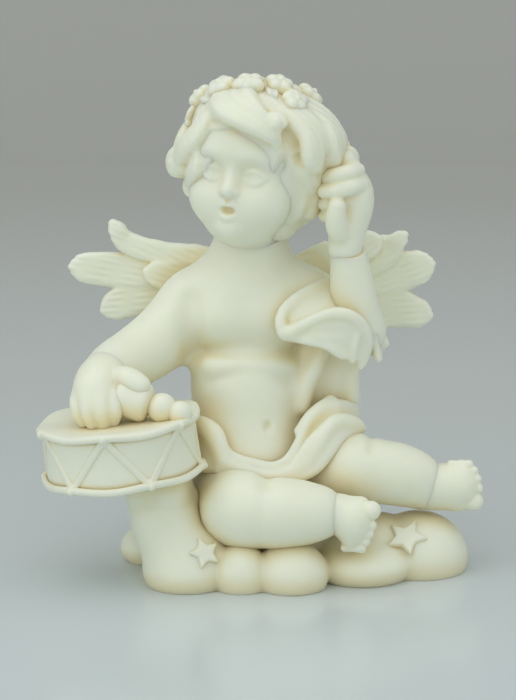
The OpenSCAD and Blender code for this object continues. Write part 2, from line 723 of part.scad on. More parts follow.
right_stick_tail = [-32, -17.8, 40.2];
right_stick_end = [-15.4, -21.9, 36.4];
right_stick_l = norm(right_stick_end - right_stick_tail);

module right_drumstick_form() {
    towards(right_stick_tail, right_stick_end - right_stick_tail)
        turned_stick(right_stick_l, right_stick_l * 0.47, barrel_d, [right_stick_l * 0.8, right_stick_l]);
}

// The room for the stick and its barrel in the right hand
module right_stick_room() {
    towards(right_stick_tail, right_stick_end - right_stick_tail) {
        translate([0, 0, -stick_gap]) cylinder(d = stick_d + 2 * stick_gap, h = right_stick_l, $fn = 16);
        translate([0, 0, right_stick_l * 0.47 - barrel_d * 0.46 - stick_gap])
            cylinder(d = barrel_d + 2 * stick_gap, h = barrel_d, $fn = 20);
    }
}

left_stick_tail = [15.4, -6, 68.6];
left_stick_end = [17.4, -1.6, 83];
left_stick_l = norm(left_stick_end - left_stick_tail);

module left_stick_room() {
    towards(left_stick_tail, left_stick_end - left_stick_tail) {
        translate([0, 0, -stick_gap]) cylinder(d = stick_d + 2 * stick_gap, h = left_stick_l, $fn = 16);
        translate([0, 0, left_stick_l - 0.6 - knob_d * 0.46 - stick_gap])
            cylinder(d = knob_d + 2 * stick_gap, h = knob_d, $fn = 20);
    }
}

module left_drumstick_form() {
    towards(left_stick_tail, left_stick_end - left_stick_tail)
        turned_stick(left_stick_l, left_stick_l - 0.6, knob_d, []);
}

// Cloud: low domes around a flat core, each [x, y, radius, height of its top], widest at puff_mid.
// All but the mound under the left foot are cut level at the seat
puff_mid = 2.6;
star_puff = [-14.2, -18.4, 8.8, seat_h + 2.2];
mound = [31.2, -7.4, 10.6, seat_h + 4.2];
seat_puffs = [
    star_puff, [-21.4, -1, 6.4, seat_h + 0.4], [-3.3, -21.4, 5.8, seat_h + 1.8], [6.5, -20.4, 7.4, seat_h + 2],
    [20.6, -12.6, 10.2, seat_h + 1], [25, 6.4, 10, seat_h + 0.3], [12, 13.6, 10.6, seat_h + 0.4],
    [-2, 15.6, 10.6, seat_h + 0.3], [-14.6, 9.6, 9.6, seat_h + 0.4]
];
function puff_c(p) = [p[0], p[1], puff_mid];
function puff_r(p) = [p[2], p[2], p[3] - puff_mid];
// The point of a puff's skin in a direction from its middle, and the way that the skin faces there
function puff_spot(p, d) = puff_c(p) + d / norm(over(d, puff_r(p)));
function puff_out(p, d) = unit(over(over(d, puff_r(p)), puff_r(p)));

module puff(p) {
    translate(puff_c(p)) scale([1, 1, puff_r(p)[2] / p[2]]) sphere(r = p[2], $fn = fine);
}

module cloud_base_form() {
    difference() {
        union() {
            difference() {
                union() {
                    for (p = seat_puffs)
                        puff(p);
                    translate([2, -3, 0]) cylinder(r1 = base_core_r + 1, r2 = base_core_r - 2, h = seat_h + 1, $fn = fine);
                }
                translate([-big / 2, -big / 2, seat_h]) cube(big);
            }
            puff(mound);
        }
        translate([-big / 2, -big / 2, -big]) cube(big);
    }
}

module drum_pillar_form() {
    waist = pillar_r * 0.94;
    top = drum_top_c[2];
    loft([
        [pillar_c[0], pillar_c[1], seat_h, pillar_r * 1.02, pillar_r * 1.02],
        [pillar_c[0] - 0.4, pillar_c[1], seat_h + 3.4, waist, waist],
        [pillar_c[0] - 0.4, pillar_c[1], seat_h + 8, pillar_r, pillar_r],
        [pillar_c[0] - 0.4, pillar_c[1], seat_h + 13, pillar_r, pillar_r],
        [pillar_c[0] - 0.4, pillar_c[1], top, pillar_r, pillar_r]
    ], [0, 1, 0], 18, 2);
}

module star_plate(r) {
    inner = 0.46;
    linear_extrude(star_t)
        polygon([for (i = [0:9]) let (a = 36 * i + 18) r * (i % 2 == 0 ? 1 : inner) * [cos(a), sin(a)]]);
}

// Each star is let into a puff by half its thickness
module star_on(p, way, turn, r) {
    out = puff_out(p, way);
    towards(puff_spot(p, way) - out * star_t * 0.6, out) rotate(turn) star_plate(r);
}

module stars_form() {
    star_on(star_puff, [0.42, -0.8, 0.22], 14, small_star_r);
    star_on(mound, [-0.19, -0.76, 0.61], -20, large_star_r);
}

// Castings
module cloud_base() {
    color("ivory") difference() {
        cloud_base_form();
        stars_form();
        pin_holes([seat_pin, pillar_pin]);
    }
}

module drum_pillar() {
    color("ivory") difference() {
        drum_pillar_form();
        below_seat();
        above_drum_plane(0);
        right_leg_form();
        pin_holes([pillar_pin]);
    }
}

module torso() {
    color("ivory") difference() {
        torso_form();
        below_seat();
        pin_holes([neck_pin, seat_pin, right_shoulder_pin, left_shoulder_pin, right_hip_pin,
            left_hip_pin, right_wing_pin, left_wing_pin]);
    }
}

module head() {
    color("ivory") difference() {
        head_form();
        torso_form();
        pin_holes([neck_pin]);
    }
}

module hair() {
    color("ivory") difference() {
        hair_form();
        head_form();
        torso_form();
    }
}

module wreath_leaves() {
    color("ivory") difference() {
        wreath_leaves_form();
        hair_form();
    }
}

module wreath_flowers() {
    color("ivory") difference() {
        wreath_flowers_form();
        wreath_leaves_form();
        hair_form();
    }
}

module right_arm() {
    color("ivory") difference() {
        right_arm_form();
        torso_form();
        pin_holes([right_shoulder_pin, right_wrist_pin]);
    }
}

module right_hand() {
    color("ivory") difference() {
        right_hand_form();
        right_arm_form();
        right_stick_room();
        below_drum_top();
        pin_holes([right_wrist_pin]);
    }
}

module left_arm() {
    color("ivory") difference() {
        left_arm_form();
        torso_form();
        pin_holes([left_shoulder_pin, left_wrist_pin]);
    }
}

module left_hand() {
    color("ivory") difference() {
        left_hand_form();
        left_arm_form();
        left_stick_room();
        hair_form();
        pin_holes([left_wrist_pin]);
    }
}

module right_leg() {
    color("ivory") difference() {
        right_leg_form();
        torso_form();
        drum_room();
        below_seat();
        pin_holes([right_hip_pin, right_ankle_pin]);
    }
}

module right_foot() {
    color("ivory") difference() {
        right_foot_form();
        right_leg_form();
        pin_holes([right_ankle_pin]);
    }
}

module left_leg() {
    color("ivory") difference() {
        left_leg_form();
        torso_form();
        right_leg_form();
        below_seat();
        pin_holes([left_hip_pin, left_ankle_pin]);
    }
}

module left_foot() {
    color("ivory") difference() {
        left_foot_form();
        left_leg_form();
        pin_holes([left_ankle_pin]);
    }
}

module right_wing() {
    color("ivory") difference() {
        wing_form(right_feathers, -1);
        torso_form();
        right_arm_form();
        pin_holes([right_wing_pin]);
    }
}

module left_wing() {
    color("ivory") difference() {
        wing_form(left_feathers, 1);
        torso_form();
        left_arm_form();
        mantle_form();
        pin_holes([left_wing_pin]);
    }
}

module hip_drape() {
    color("ivory") difference() {
        hip_drape_form();
        torso_form();
        right_leg_form();
        left_leg_form();
        drum_room(big);
    }
}

module mantle() {
    color("ivory") difference() {
        mantle_form();
        torso_form();
        left_arm_form();
        left_leg_form();
        hip_drape_form();
    }
}

module arm_drape() {
    color("ivory") difference() {
        arm_drape_form();
        torso_form();
        left_arm_form();
        mantle_form();
    }
}

module drum_shell() {
    color("ivory") drum_shell_form();
}

module drum_top_skin() {
    color("ivory") drum_skin(skin_t + drum_h);
}

module drum_bottom_skin() {
    color("ivory") drum_skin(0);
}

module drum_top_hoop() {
    color("ivory") drum_hoop(hoop_high);
}

module drum_bottom_hoop() {
    color("ivory") drum_hoop(hoop_low);
}

module drum_cord() {
    color("ivory") difference() {
        drum_cord_form();
        drum_shell_form();
        drum_hoop(hoop_low);
        drum_hoop(hoop_high);
    }
}

module right_drumstick() {
    color("ivory") right_drumstick_form();
}

module left_drumstick() {
    color("ivory") difference() {
        left_drumstick_form();
        hair_form();
    }
}

module stars() {
    color("ivory") stars_form();
}

module body_pins() {
    color("goldenrod") pins(all_body_pins);
}

module limb_pins() {
    color("goldenrod") pins(all_limb_pins);
}

cloud_base();
drum_pillar();
torso();
head();
hair();
wreath_leaves();
wreath_flowers();
right_arm();
right_hand();
left_arm();
left_hand();
right_leg();
right_foot();
left_leg();
left_foot();
right_wing();
left_wing();
hip_drape();
mantle();
arm_drape();
drum_shell();
drum_top_skin();
drum_bottom_skin();
drum_top_hoop();
drum_bottom_hoop();
drum_cord();
right_drumstick();
left_drumstick();
stars();
body_pins();
limb_pins();
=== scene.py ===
import math

import bmesh
import bpy
import numpy as np
import openvdb
from mathutils import Matrix, Vector


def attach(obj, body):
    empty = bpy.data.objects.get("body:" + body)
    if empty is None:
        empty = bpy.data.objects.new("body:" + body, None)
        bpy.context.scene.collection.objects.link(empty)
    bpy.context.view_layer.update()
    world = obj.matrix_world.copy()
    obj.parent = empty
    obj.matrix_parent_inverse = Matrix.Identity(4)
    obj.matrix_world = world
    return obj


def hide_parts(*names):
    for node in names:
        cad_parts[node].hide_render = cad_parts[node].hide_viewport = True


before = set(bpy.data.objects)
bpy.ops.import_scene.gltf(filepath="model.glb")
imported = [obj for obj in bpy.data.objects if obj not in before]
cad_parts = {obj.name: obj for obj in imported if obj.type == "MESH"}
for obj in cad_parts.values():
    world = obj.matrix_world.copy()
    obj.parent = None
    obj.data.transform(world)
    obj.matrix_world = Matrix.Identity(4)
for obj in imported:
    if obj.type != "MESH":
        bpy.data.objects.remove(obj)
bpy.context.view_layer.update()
scene = bpy.context.scene
mm = 0.001
print("frame loaded,", len(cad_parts), "nodes")


# Colours are written as sRGB hex values and turned to linear light here
def linear(hexCode):
    parts = [int(hexCode[i:i + 2], 16) / 255 for i in (1, 3, 5)]
    return [c / 12.92 if c <= 0.04045 else ((c + 0.055) / 1.055) ** 2.4 for c in parts] + [1.0]


# One helper adds a node, sets its sockets and links what is a socket already
def addNode(tree, kind, inputs=None, **settings):
    node = tree.nodes.new(kind)
    for key, value in settings.items():
        setattr(node, key, value)
    for key, value in (inputs or {}).items():
        if isinstance(value, bpy.types.NodeSocket):
            tree.links.new(value, node.inputs[key])
        else:
            node.inputs[key].default_value = value
    return node


# Modelling clay: a block of signed distances in mm, negative inside, shaped and then skinned
emptyField = 50.0  # mm, the value where nothing has been modelled
blendReach = 7.0  # mm, how far past its own box a shape can still blend
bandReach = 3.0  # mm, the same for a thin band


class Clay:
    def __init__(self, low, high, step):
        self.step = step
        self.axes = [np.arange(a, b + self.step, self.step, dtype=np.float32) for a, b in zip(low, high)]
        self.field = np.full([len(a) for a in self.axes], emptyField, np.float32)

    def window(self, low, high, pad):
        picks = nearby(self.axes, low, high, pad)
        return picks, picks and [axis[p] for axis, p in zip(self.axes, picks)]

    def add(self, shape, blend=0.0):
        picks, spots = self.window(shape[0], shape[1], blendReach)
        if picks:
            self.field[picks] = softMin(self.field[picks], shape[2](*spots), blend)

    def cut(self, shape, blend=0.0):
        picks, spots = self.window(shape[0], shape[1], blendReach)
        if picks:
            self.field[picks] = -softMin(-self.field[picks], shape[2](*spots), blend)

    def keep(self, shape, blend=0.0):
        other = shape[2](*self.axes)
        self.field = -softMin(-self.field, -other, blend)

    # A soft groove along a path, or a ridge where the depth is negative
    def crease(self, stations, wide, deep, fine=4):
        shape = limb([list(s[:3]) + [0] for s in stations], fine)
        picks, spots = self.window(shape[0], shape[1], 3 * wide)
        if picks:
            away = shape[2](*spots)
            self.field[picks] += deep * np.exp(-(away / wide) ** 2)


# The slices of the axes that lie in a box with a margin, or None
def nearby(axes, low, high, pad):
    picks = tuple(
        slice(int(np.searchsorted(s, a - pad)), int(np.searchsorted(s, b + pad)))
        for s, a, b in zip(axes, low, high)
    )
    return picks if all(p.stop > p.start for p in picks) else None


def spread(x, y, z):
    return x[:, None, None], y[None, :, None], z[None, None, :]


def softMin(a, b, blend):
    if blend <= 0:
        return np.minimum(a, b)
    near = np.maximum(blend - np.abs(a - b), 0) / blend
    return np.minimum(a, b) - near * near * blend / 4


# Catmull-Rom through the stations, whatever their columns hold
def smoothPath(stations, fine):
    p = np.array(stations, float)
    if len(p) < 3 or fine < 2:
        return p
    ends = np.vstack([2 * p[0] - p[1], p, 2 * p[-1] - p[-2]])
    out = []
    for i in range(len(p) - 1):
        a, b, c, d = ends[i:i + 4]
        for t in np.arange(fine) / fine:
            out.append(0.5 * (2 * b + (c - a) * t + (2 * a - 5 * b + 4 * c - d) * t * t
                              + (3 * b - a - 3 * c + d) * t ** 3))
    return np.vstack(out + [p[-1]])


# An ellipsoid; turn is a 3 by 3 matrix whose columns are its own axes
def ball(centre, radii, turn=None):
    c = np.array(centre, float)
    r = np.array(radii if np.ndim(radii) else [radii] * 3, float)
    m = np.eye(3) if turn is None else np.array(turn, float)
    half = np.sqrt(((m * r) ** 2).sum(axis=1))

    def measure(x, y, z):
        x, y, z = spread(x - np.float32(c[0]), y - np.float32(c[1]), z - np.float32(c[2]))
        near = 0
        slope = 0
        for k in range(3):
            u = np.float32(m[0, k]) * x + np.float32(m[1, k]) * y + np.float32(m[2, k]) * z
            near = near + (u / np.float32(r[k])) ** 2
            slope = slope + (u / np.float32(r[k] ** 2)) ** 2
        near = np.sqrt(near)
        return near * (near - 1) / (np.sqrt(slope) + np.float32(1e-5))

    return c - half, c + half, measure


# Goes along a path and gives, for each stretch near the spots: its number, the window round it, how far
# along it each spot lies, its run and squared length, and each spot's way off it
def stretches(path, spots, fat, pad):
    for i, (a, b) in enumerate(zip(path[:-1], path[1:])):
        wide = max(fat[i], fat[i + 1])
        picks = nearby(spots, np.minimum(a, b) - wide, np.maximum(a, b) + wide, pad)
        if picks is None:
            continue
        x, y, z = spread(*[s[p] - np.float32(c) for s, p, c in zip(spots, picks, a)])
        run = (b - a)[:3].astype(np.float32)
        length = max(float((run * run).sum()), 1e-9)
        t = np.clip((x * run[0] + y * run[1] + z * run[2]) / length, 0, 1)
        yield i, picks, t, run, length, (x - t * run[0], y - t * run[1], z - t * run[2])


def partWay(values, i, t):
    return (values[i] + t * (values[i + 1] - values[i])).astype(np.float32)


# A round limb through stations of x, y, z and radius
def limb(stations, fine=4):
    path = smoothPath(stations, fine)
    fat = path[:, 3]
    low = (path[:, :3] - fat[:, None]).min(axis=0)
    high = (path[:, :3] + fat[:, None]).max(axis=0)

    def measure(*spots):
        out = np.full([len(s) for s in spots], emptyField, np.float32)
        for i, picks, t, _, _, (x, y, z) in stretches(path, spots, fat, blendReach):
            away = np.sqrt(x ** 2 + y ** 2 + z ** 2)
            out[picks] = np.minimum(out[picks], away - partWay(fat, i, t))
        return out

    return low, high, measure


# A flat band with round edges: x, y, z, half width, half thickness and the side it faces
def band(stations, fine=4):
    path = smoothPath(stations, fine)
    face = path[:, 5:8] / np.linalg.norm(path[:, 5:8], axis=1)[:, None]
    fat = np.maximum(path[:, 3], path[:, 4])
    low = (path[:, :3] - fat[:, None]).min(axis=0)
    high = (path[:, :3] + fat[:, None]).max(axis=0)

    def measure(*spots):
        out = np.full([len(s) for s in spots], emptyField, np.float32)
        for i, picks, t, run, length, (x, y, z) in stretches(path, spots, fat, bandReach):
            n = (face[i] + face[i + 1]).astype(np.float32)
            n = n - run * (n * run).sum() / length
            n = n / np.linalg.norm(n)
            side = np.cross(run / math.sqrt(length), n)
            deep = x * n[0] + y * n[1] + z * n[2]
            across = np.abs(x * side[0] + y * side[1] + z * side[2])
            along = x * x + y * y + z * z - deep * deep - across * across
            thick = partWay(path[:, 4], i, t)
            flat = np.maximum(partWay(path[:, 3], i, t) - thick, 0)
            rim = np.maximum(across - flat, 0)
            away = np.sqrt(np.maximum(rim * rim + deep * deep + np.maximum(along, 0), 0)) - thick
            out[picks] = np.minimum(out[picks], away)
        return out

    return low, high, measure


# Everything on the side of a plane that its normal points away from
def below(point, normal):
    p = np.array(point, float)
    n = np.array(normal, float) / np.linalg.norm(normal)
    far = np.array([200.0] * 3)

    def measure(x, y, z):
        x, y, z = spread(x - np.float32(p[0]), y - np.float32(p[1]), z - np.float32(p[2]))
        return np.float32(n[0]) * x + np.float32(n[1]) * y + np.float32(n[2]) * z

    return p - far, p + far, measure


# A ball moved to one side of a middle, -1 for the figure's right and 1 for its left
def sided(shape, side, middle=0):
    (x, y, z), radii = shape
    return ball((middle + side * x, y, z), radii)


# Adds forms of a piece in turn: how each is made, its name and how softly it joins
def buildUp(clay, piece, forms):
    for make, name, blend in forms:
        clay.add(ball(*piece[name]) if make is ball else make(piece[name]), blend)


# Skins the clay, puts it in its place and parts it at planes of point and outward normal
def castPiece(name, clay, material, nodes, partings=(), place=None):
    grid = openvdb.FloatGrid(3.0)
    grid.copyFromArray(np.clip(clay.field / clay.step, -3, 3))
    points, quads = grid.convertToQuads(isovalue=0.0)
    points = points * clay.step + [axis[0] for axis in clay.axes]
    mesh = bpy.data.meshes.new(name)
    mesh.from_pydata(points * mm, [], quads.tolist())
    if place is not None:
        mesh.transform(place)
    if partings:
        bm = bmesh.new()
        bm.from_mesh(mesh)
        for point, normal in partings:
            partAt(bm, Vector(point) * mm, Vector(normal).normalized())
        bm.to_mesh(mesh)
        bm.free()
    mesh.polygons.foreach_set("use_smooth", [True] * len(mesh.polygons))
    return finishPiece(name, mesh, material, nodes)


# Takes away what lies past the plane and closes the cut with a flat face
def partAt(bm, point, normal):
    bmesh.ops.bisect_plane(
        bm, geom=bm.verts[:] + bm.edges[:] + bm.faces[:], dist=1e-7,
        plane_co=point, plane_no=normal, clear_outer=True)
    rim = [e for e in bm.edges if e.is_boundary]
    caps = bmesh.ops.holes_fill(bm, edges=rim, sides=0)["faces"]
    for face in caps:
        if face.normal.dot(normal) < 0:
            face.normal_flip()
        for edge in face.edges:
            edge.smooth = False


def finishPiece(name, mesh, material, nodes):
    mesh.materials.append(material)
    piece = bpy.data.objects.new(name, mesh)
    scene.collection.objects.link(piece)
    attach(piece, "root")
    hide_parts(*nodes)
    print(name, len(mesh.polygons), "faces")
    return piece


def newMaterial(name):
    material = bpy.data.materials.new(name)
    material.use_nodes = True
    material.node_tree.nodes.clear()
    return material, material.node_tree


# A noise in Object coordinates whose grain is given in mm
def addNoise(tree, spot, grain, detail):
    return addNode(tree, "ShaderNodeTexNoise", {
        "Vector": spot.outputs["Object"], "Scale": 1 / (grain * mm), "Detail": detail})


def addSheen(tree, noise, roughness):
    return addNode(tree, "ShaderNodeMapRange", {
        "Value": noise.outputs["Fac"], "To Min": roughness[0], "To Max": roughness[1]})


# Cold-cast resin from a rubber mould, left unglazed: satin and a little translucent. The tints deep, warm
# and pale each
# say how open the surface is there: deep and warm are painted shade, darker and yellower in hollows,
# creases and between parts, and pale is the resin's own colour on open surfaces
castResin = {
    "deep": ("#EADFBC", 0.2), "warm": ("#F0E9C9", 0.6), "pale": ("#F0F3E2", 0.92),
    "cool": "#E8EDE2", "mottle": 9.0, "mottleDetail": 3.0, "mottleShare": 0.35,
    "grain": 0.6, "grainDetail": 2.0, "grainDeep": 0.02, "grainStrength": 0.25,
    "roughness": (0.38, 0.5), "bend": 1.5, "paintedShadeProbe": 7.5,
    "glow": 0.5, "thinGlow": 0.04, "glowReach": (3.4, 2.9, 2.0),
}


# Milky and waxy, with painted shade that makes it darker and yellower in the hollows
def makeResin(name, glow):
    look = castResin
    material, tree = newMaterial(name)
    spot = addNode(tree, "ShaderNodeTexCoord")
    # Painted shade: an occlusion probe picks the deep and warm tints where the surface is closed in
    paintedShadeProbe = addNode(tree, "ShaderNodeAmbientOcclusion", {"Distance": look["paintedShadeProbe"] * mm}, samples=8)
    paintedShadeTint = addNode(tree, "ShaderNodeValToRGB", {"Fac": paintedShadeProbe.outputs["AO"]})
    stops = paintedShadeTint.color_ramp.elements
    stops[0].color, stops[0].position = linear(look["deep"][0]), look["deep"][1]
    stops[1].color, stops[1].position = linear(look["pale"][0]), look["pale"][1]
    stops.new(look["warm"][1]).color = linear(look["warm"][0])
    cloudy = addNoise(tree, spot, look["mottle"], look["mottleDetail"])
    share = addNode(tree, "ShaderNodeMath", {
        0: cloudy.outputs["Fac"], 1: look["mottleShare"]}, operation="MULTIPLY")
    mottleAndPaintedShade = addNode(tree, "ShaderNodeMix", {
        0: share.outputs["Value"], 6: paintedShadeTint.outputs["Color"], 7: linear(look["cool"])},
        data_type="RGBA", blend_type="MULTIPLY")
    sheen = addSheen(tree, cloudy, look["roughness"])
    pores = addNoise(tree, spot, look["grain"], look["grainDetail"])
    skin = addNode(tree, "ShaderNodeBump", {
        "Height": pores.outputs["Fac"], "Strength": look["grainStrength"],
        "Distance": look["grainDeep"] * mm})
    shader = addNode(tree, "ShaderNodeBsdfPrincipled", {
        "Base Color": mottleAndPaintedShade.outputs[2], "Roughness": sheen.outputs["Result"], "IOR": look["bend"],
        "Normal": skin.outputs["Normal"], "Subsurface Weight": glow,
        "Subsurface Radius": look["glowReach"], "Subsurface Scale": 1 * mm})
    addNode(tree, "ShaderNodeOutputMaterial", {"Surface": shader.outputs["BSDF"]})
    return material


resin = makeResin("ivory_cold_cast_resin", castResin["glow"])
thinResin = makeResin("ivory_cold_cast_resin_thin", castResin["thinGlow"])  # thin walls hold less light

pinBrass = {"metal": "#C8A562", "dull": "#B08D4C", "patch": 0.4, "patchDetail": 2.0,
            "roughness": (0.22, 0.4)}


# Drawn brass rod: bright, with fine dull patches
def makeBrass():
    look = pinBrass
    material, tree = newMaterial("drawn_brass_rod")
    spot = addNode(tree, "ShaderNodeTexCoord")
    patch = addNoise(tree, spot, look["patch"], look["patchDetail"])
    tone = addNode(tree, "ShaderNodeMix", {
        0: patch.outputs["Fac"], 6: linear(look["metal"]), 7: linear(look["dull"])}, data_type="RGBA")
    sheen = addSheen(tree, patch, look["roughness"])
    shader = addNode(tree, "ShaderNodeBsdfPrincipled", {
        "Base Color": tone.outputs[2], "Metallic": 1.0, "Roughness": sheen.outputs["Result"]})
    addNode(tree, "ShaderNodeOutputMaterial", {"Surface": shader.outputs["BSDF"]})
    return material


brass = makeBrass()
for pins in ("body_pins", "limb_pins"):
    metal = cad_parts[pins].data.materials
    metal.clear()
    metal.append(brass)

# Where head and body are parted: a point and the way up from the body
neckParting = ((-1.6, 2, 66.2), (0, -0.35, 1))

torso = {
    "step": 0.36, "box": ((-38, -22, 6), (27, 20, 72)),
    "pelvis": ((0, 4.6, 14.5), (14.2, 11.4, 10.5)),
    "belly": ((-1.8, 0.8, 29.0), (11.8, 10.8, 10.8)),
    "waist": ((-1.9, 1.4, 36.0), (11.5, 9.9, 7.0)),
    "underBelly": ((-0.6, -0.6, 22.6), (12.6, 12.4, 7.6)),
    "waistRoll": ((-2, 1.6, 40.8), (11.8, 9.4, 4.8)),
    "chest": ((-2, 3.4, 49.6), (12.8, 9.0, 8.2)),
    "breast": ((5.4, -1.9, 50.2), (5.2, 3.8, 4.4)),
    "yoke": ((-13.2, 4.2, 52.6, 5.2), (-2, 4.8, 55.4, 6.2), (9.6, 4.2, 53.6, 5.0)),
    "nape": ((-1.6, 8.4, 53, 5.6), (-1.5, 7.0, 60, 5.4), (-1.1, 5.6, 67, 5.4), (-0.8, 4.8, 74, 5.4)),
    "slope": ((9.6, 6.6, 53.8, 4.0), (6.2, 6.8, 57.4, 3.6), (3.2, 6.4, 62.0, 3.2)),
    "neck": ((-1.7, 5.0, 54, 7.6), (-1.6, 3.6, 61, 6.3), (-1.5, 2.4, 67, 6.1), (-1.4, 2.2, 75, 6.1)),
    "chestFold": ((-10.6, -1.4, 43.0), (-6, -5.6, 43.9), (-1, -7.0, 44.2), (4, -6.2, 43.8),
                  (8, -2.4, 43.0)),
    "bellyFold": ((-8.6, -4.6, 37.6), (-5, -7.4, 40.0), (-1.5, -8.4, 40.8), (2.5, -8.0, 40.2),
                  (6, -5.8, 38.2)),
    "spine": ((-1.8, 12.6, 57), (-1.7, 12.2, 50), (-1.6, 11.4, 42), (-1.4, 11.2, 34), (-0.8, 13, 26)),
    "blade": ((6.2, 8.6, 51.0), (4.4, 3.6, 5.4)),
    "navel": ((2.0, -10.6, 29.9), (0.9, 1.6, 1.1)),
}


def shapeNeck(clay, blend, place=None):
    for run in ("neck", "nape"):
        stations = np.array(torso[run], float)
        if place is not None:
            back = place.inverted()
            for s in stations:
                s[:3] = (back @ (Vector(s[:3]) * mm)) / mm
        clay.add(limb(stations), blend)


def shapeTorso(clay):
    t = torso
    buildUp(clay, t, (
        (ball, "pelvis", 0), (ball, "belly", 5), (ball, "underBelly", 4), (ball, "waist", 3),
        (ball, "waistRoll", 3), (ball, "chest", 3)))
    middle = t["chest"][0][0]
    for side in (-1, 1):
        clay.add(sided(t["breast"], side, middle), 4)
    clay.add(limb(t["yoke"]), 5)
    shapeNeck(clay, 5)
    for side in (-1, 1):
        clay.add(limb([(middle + side * x, y, z, r) for x, y, z, r in t["slope"]]), 4)
    clay.crease(t["chestFold"], 1.8, 0.7)
    clay.crease(t["bellyFold"], 1.6, 0.6)
    for side in (-1, 1):
        clay.add(sided(t["blade"], side, middle), 3)
    clay.crease(t["spine"], 1.8, 1.2)
    clay.cut(ball(*t["navel"]), 0.9)


rightArm = {
    "chain": ((-9.5, 4.4, 54, 5.0), (-14.4, 3.4, 50.6, 6.1), (-19.2, 0.8, 45.4, 6.5),
              (-24.2, -4.0, 42.6, 6.1), (-28.2, -9.4, 41.2, 5.6), (-30.4, -14.4, 40.0, 4.7),
              (-30.8, -17.2, 39.4, 4.2)),
    "armpit": ((-13.4, -3.0, 54.0), (-13.6, -4.6, 50.0), (-13.4, -4.4, 46.0), (-13.6, -2.6, 42.4)),
}
leftArm = {
    "upper": ((7.5, 4.6, 53.6, 4.8), (13, 3.6, 51, 5.5), (17.4, 1.4, 48, 5.6), (19.6, -0.8, 47.2, 5.4)),
    "fore": ((19.8, -1.2, 47.4, 5.2), (19.2, -2.2, 52, 5.0), (18.6, -3.0, 57, 4.4), (18.0, -3.6, 62, 3.7),
             (17.6, -4, 66, 3.4), (17.6, -4, 69, 3.4)),
}


def shapeArms(clay):
    clay.add(limb(rightArm["chain"]), 3.5)
    clay.crease(rightArm["armpit"], 2.2, 1.3)
    buildUp(clay, leftArm, ((limb, "upper", 4), (limb, "fore", 2.5)))


def flip(parting):
    return parting[0], [-c for c in parting[1]]


# The mantle hangs behind the left arm, fast to the side of the chest
mantle = {
    "sheet": ((13.6, 8.6, 9.0, 4.6, 2.2, -0.7, -0.7, 0), (14.4, 7.2, 14.0, 5.4, 2.4, -0.55, -0.8, 0),
              (14.6, 4.4, 21.0, 6.2, 2.6, -0.2, -1, 0), (14.0, 1.2, 30.0, 6.6, 3.2, 0.1, -1, 0),
              (13.8, 0.0, 37.0, 6.6, 3.4, 0.1, -1, 0), (14.2, 0.8, 44.0, 6.2, 3.4, 0.1, -1, 0),
              (15.0, 3.0, 50.0, 5.2, 2.6, 0.1, -1, 0)),
    "edge": ((14.0, -3.2, 46.0, 1.3), (11.8, -3.8, 41.0, 1.4), (9.8, -4.4, 37.0, 1.4),
             (9.2, -4.8, 32.5, 1.3)),
    "folds": (
        ((15.6, -3.0, 44), (14.2, -3.6, 38), (12.6, -3.4, 31)),
        ((18.6, -2.4, 44), (17.4, -3.0, 38), (16.2, -2.4, 30)),
    ),
    "backFolds": (
        ((12.6, 5.8, 49), (11.4, 3.8, 38), (10.6, 7.0, 24), (9.6, 12.8, 11)),
        ((15.2, 5.9, 50), (14.4, 3.8, 38), (14.0, 7.0, 24), (13.4, 11.4, 10)),
        ((17.8, 5.8, 49), (17.6, 3.8, 38), (17.4, 6.4, 24), (16.8, 8.6, 10)),
    ),
}


def shapeMantle(clay):
    clay.add(band(mantle["sheet"]), 1.2)
    clay.add(limb(mantle["edge"]), 2.2)
    for fold in mantle["folds"]:
        clay.crease(fold, 1.5, 1.0)
    for fold in mantle["backFolds"]:
        clay.crease(fold, 1.2, 1.7)


# Torso, arms and mantle run into each other on a cast figure, so they are skinned as one
def makeBody():
    clay = Clay(*torso["box"], torso["step"])
    shapeTorso(clay)
    shapeMantle(clay)
    shapeArms(clay)
    castPiece("body_cast", clay, resin, ["torso", "right_arm", "left_arm", "mantle"],
              partings=[neckParting])


rightLeg = {
    "step": 0.4, "box": ((-19, -30, 4), (18, 15, 25)),
    "thigh": ((-5, 4, 15, 9.0), (-5.2, -6, 15.4, 8.6), (-4.4, -12, 15.2, 7.8), (-3.6, -17, 14.9, 7.2)),
    "calf": ((-4.2, -18.2, 14.8, 6.6), (-2.0, -19.0, 15.0, 7.3), (1.0, -19.4, 14.6, 6.9),
             (4.6, -19.8, 14.7, 7.0), (8.4, -20, 14.8, 6.4), (11.4, -20.2, 14.8, 5.4),
             (13.0, -20.2, 14.8, 4.6)),
    "anklePad": ((12.4, -20.2, 17.0), (2.0, 3.2, 2.2)),
    "dimple": ((1.3, -22.8, 21.4), (1.4, -20.6, 22.4), (1.4, -17, 22.2)),
}
leftLeg = {
    "step": 0.4, "box": ((-3, -19, 7), (39, 15, 30)),
    "thigh": ((7.4, 4, 17.6, 8.4), (11, -2, 18.4, 8.8), (15.6, -6.6, 19.8, 7.6), (19.0, -8.6, 20.8, 6.5)),
    "calf": ((19.6, -8.4, 21.0, 6.3), (23.6, -8.6, 20.3, 6.4), (27.4, -8.2, 19.6, 6.3),
             (30.6, -7.8, 18.6, 5.8), (33.0, -7.6, 17.2, 4.9)),
    "kneeFold": ((22.2, -12.6, 25.4), (22.6, -9.4, 27.2), (22.4, -5.6, 27.0)),
}


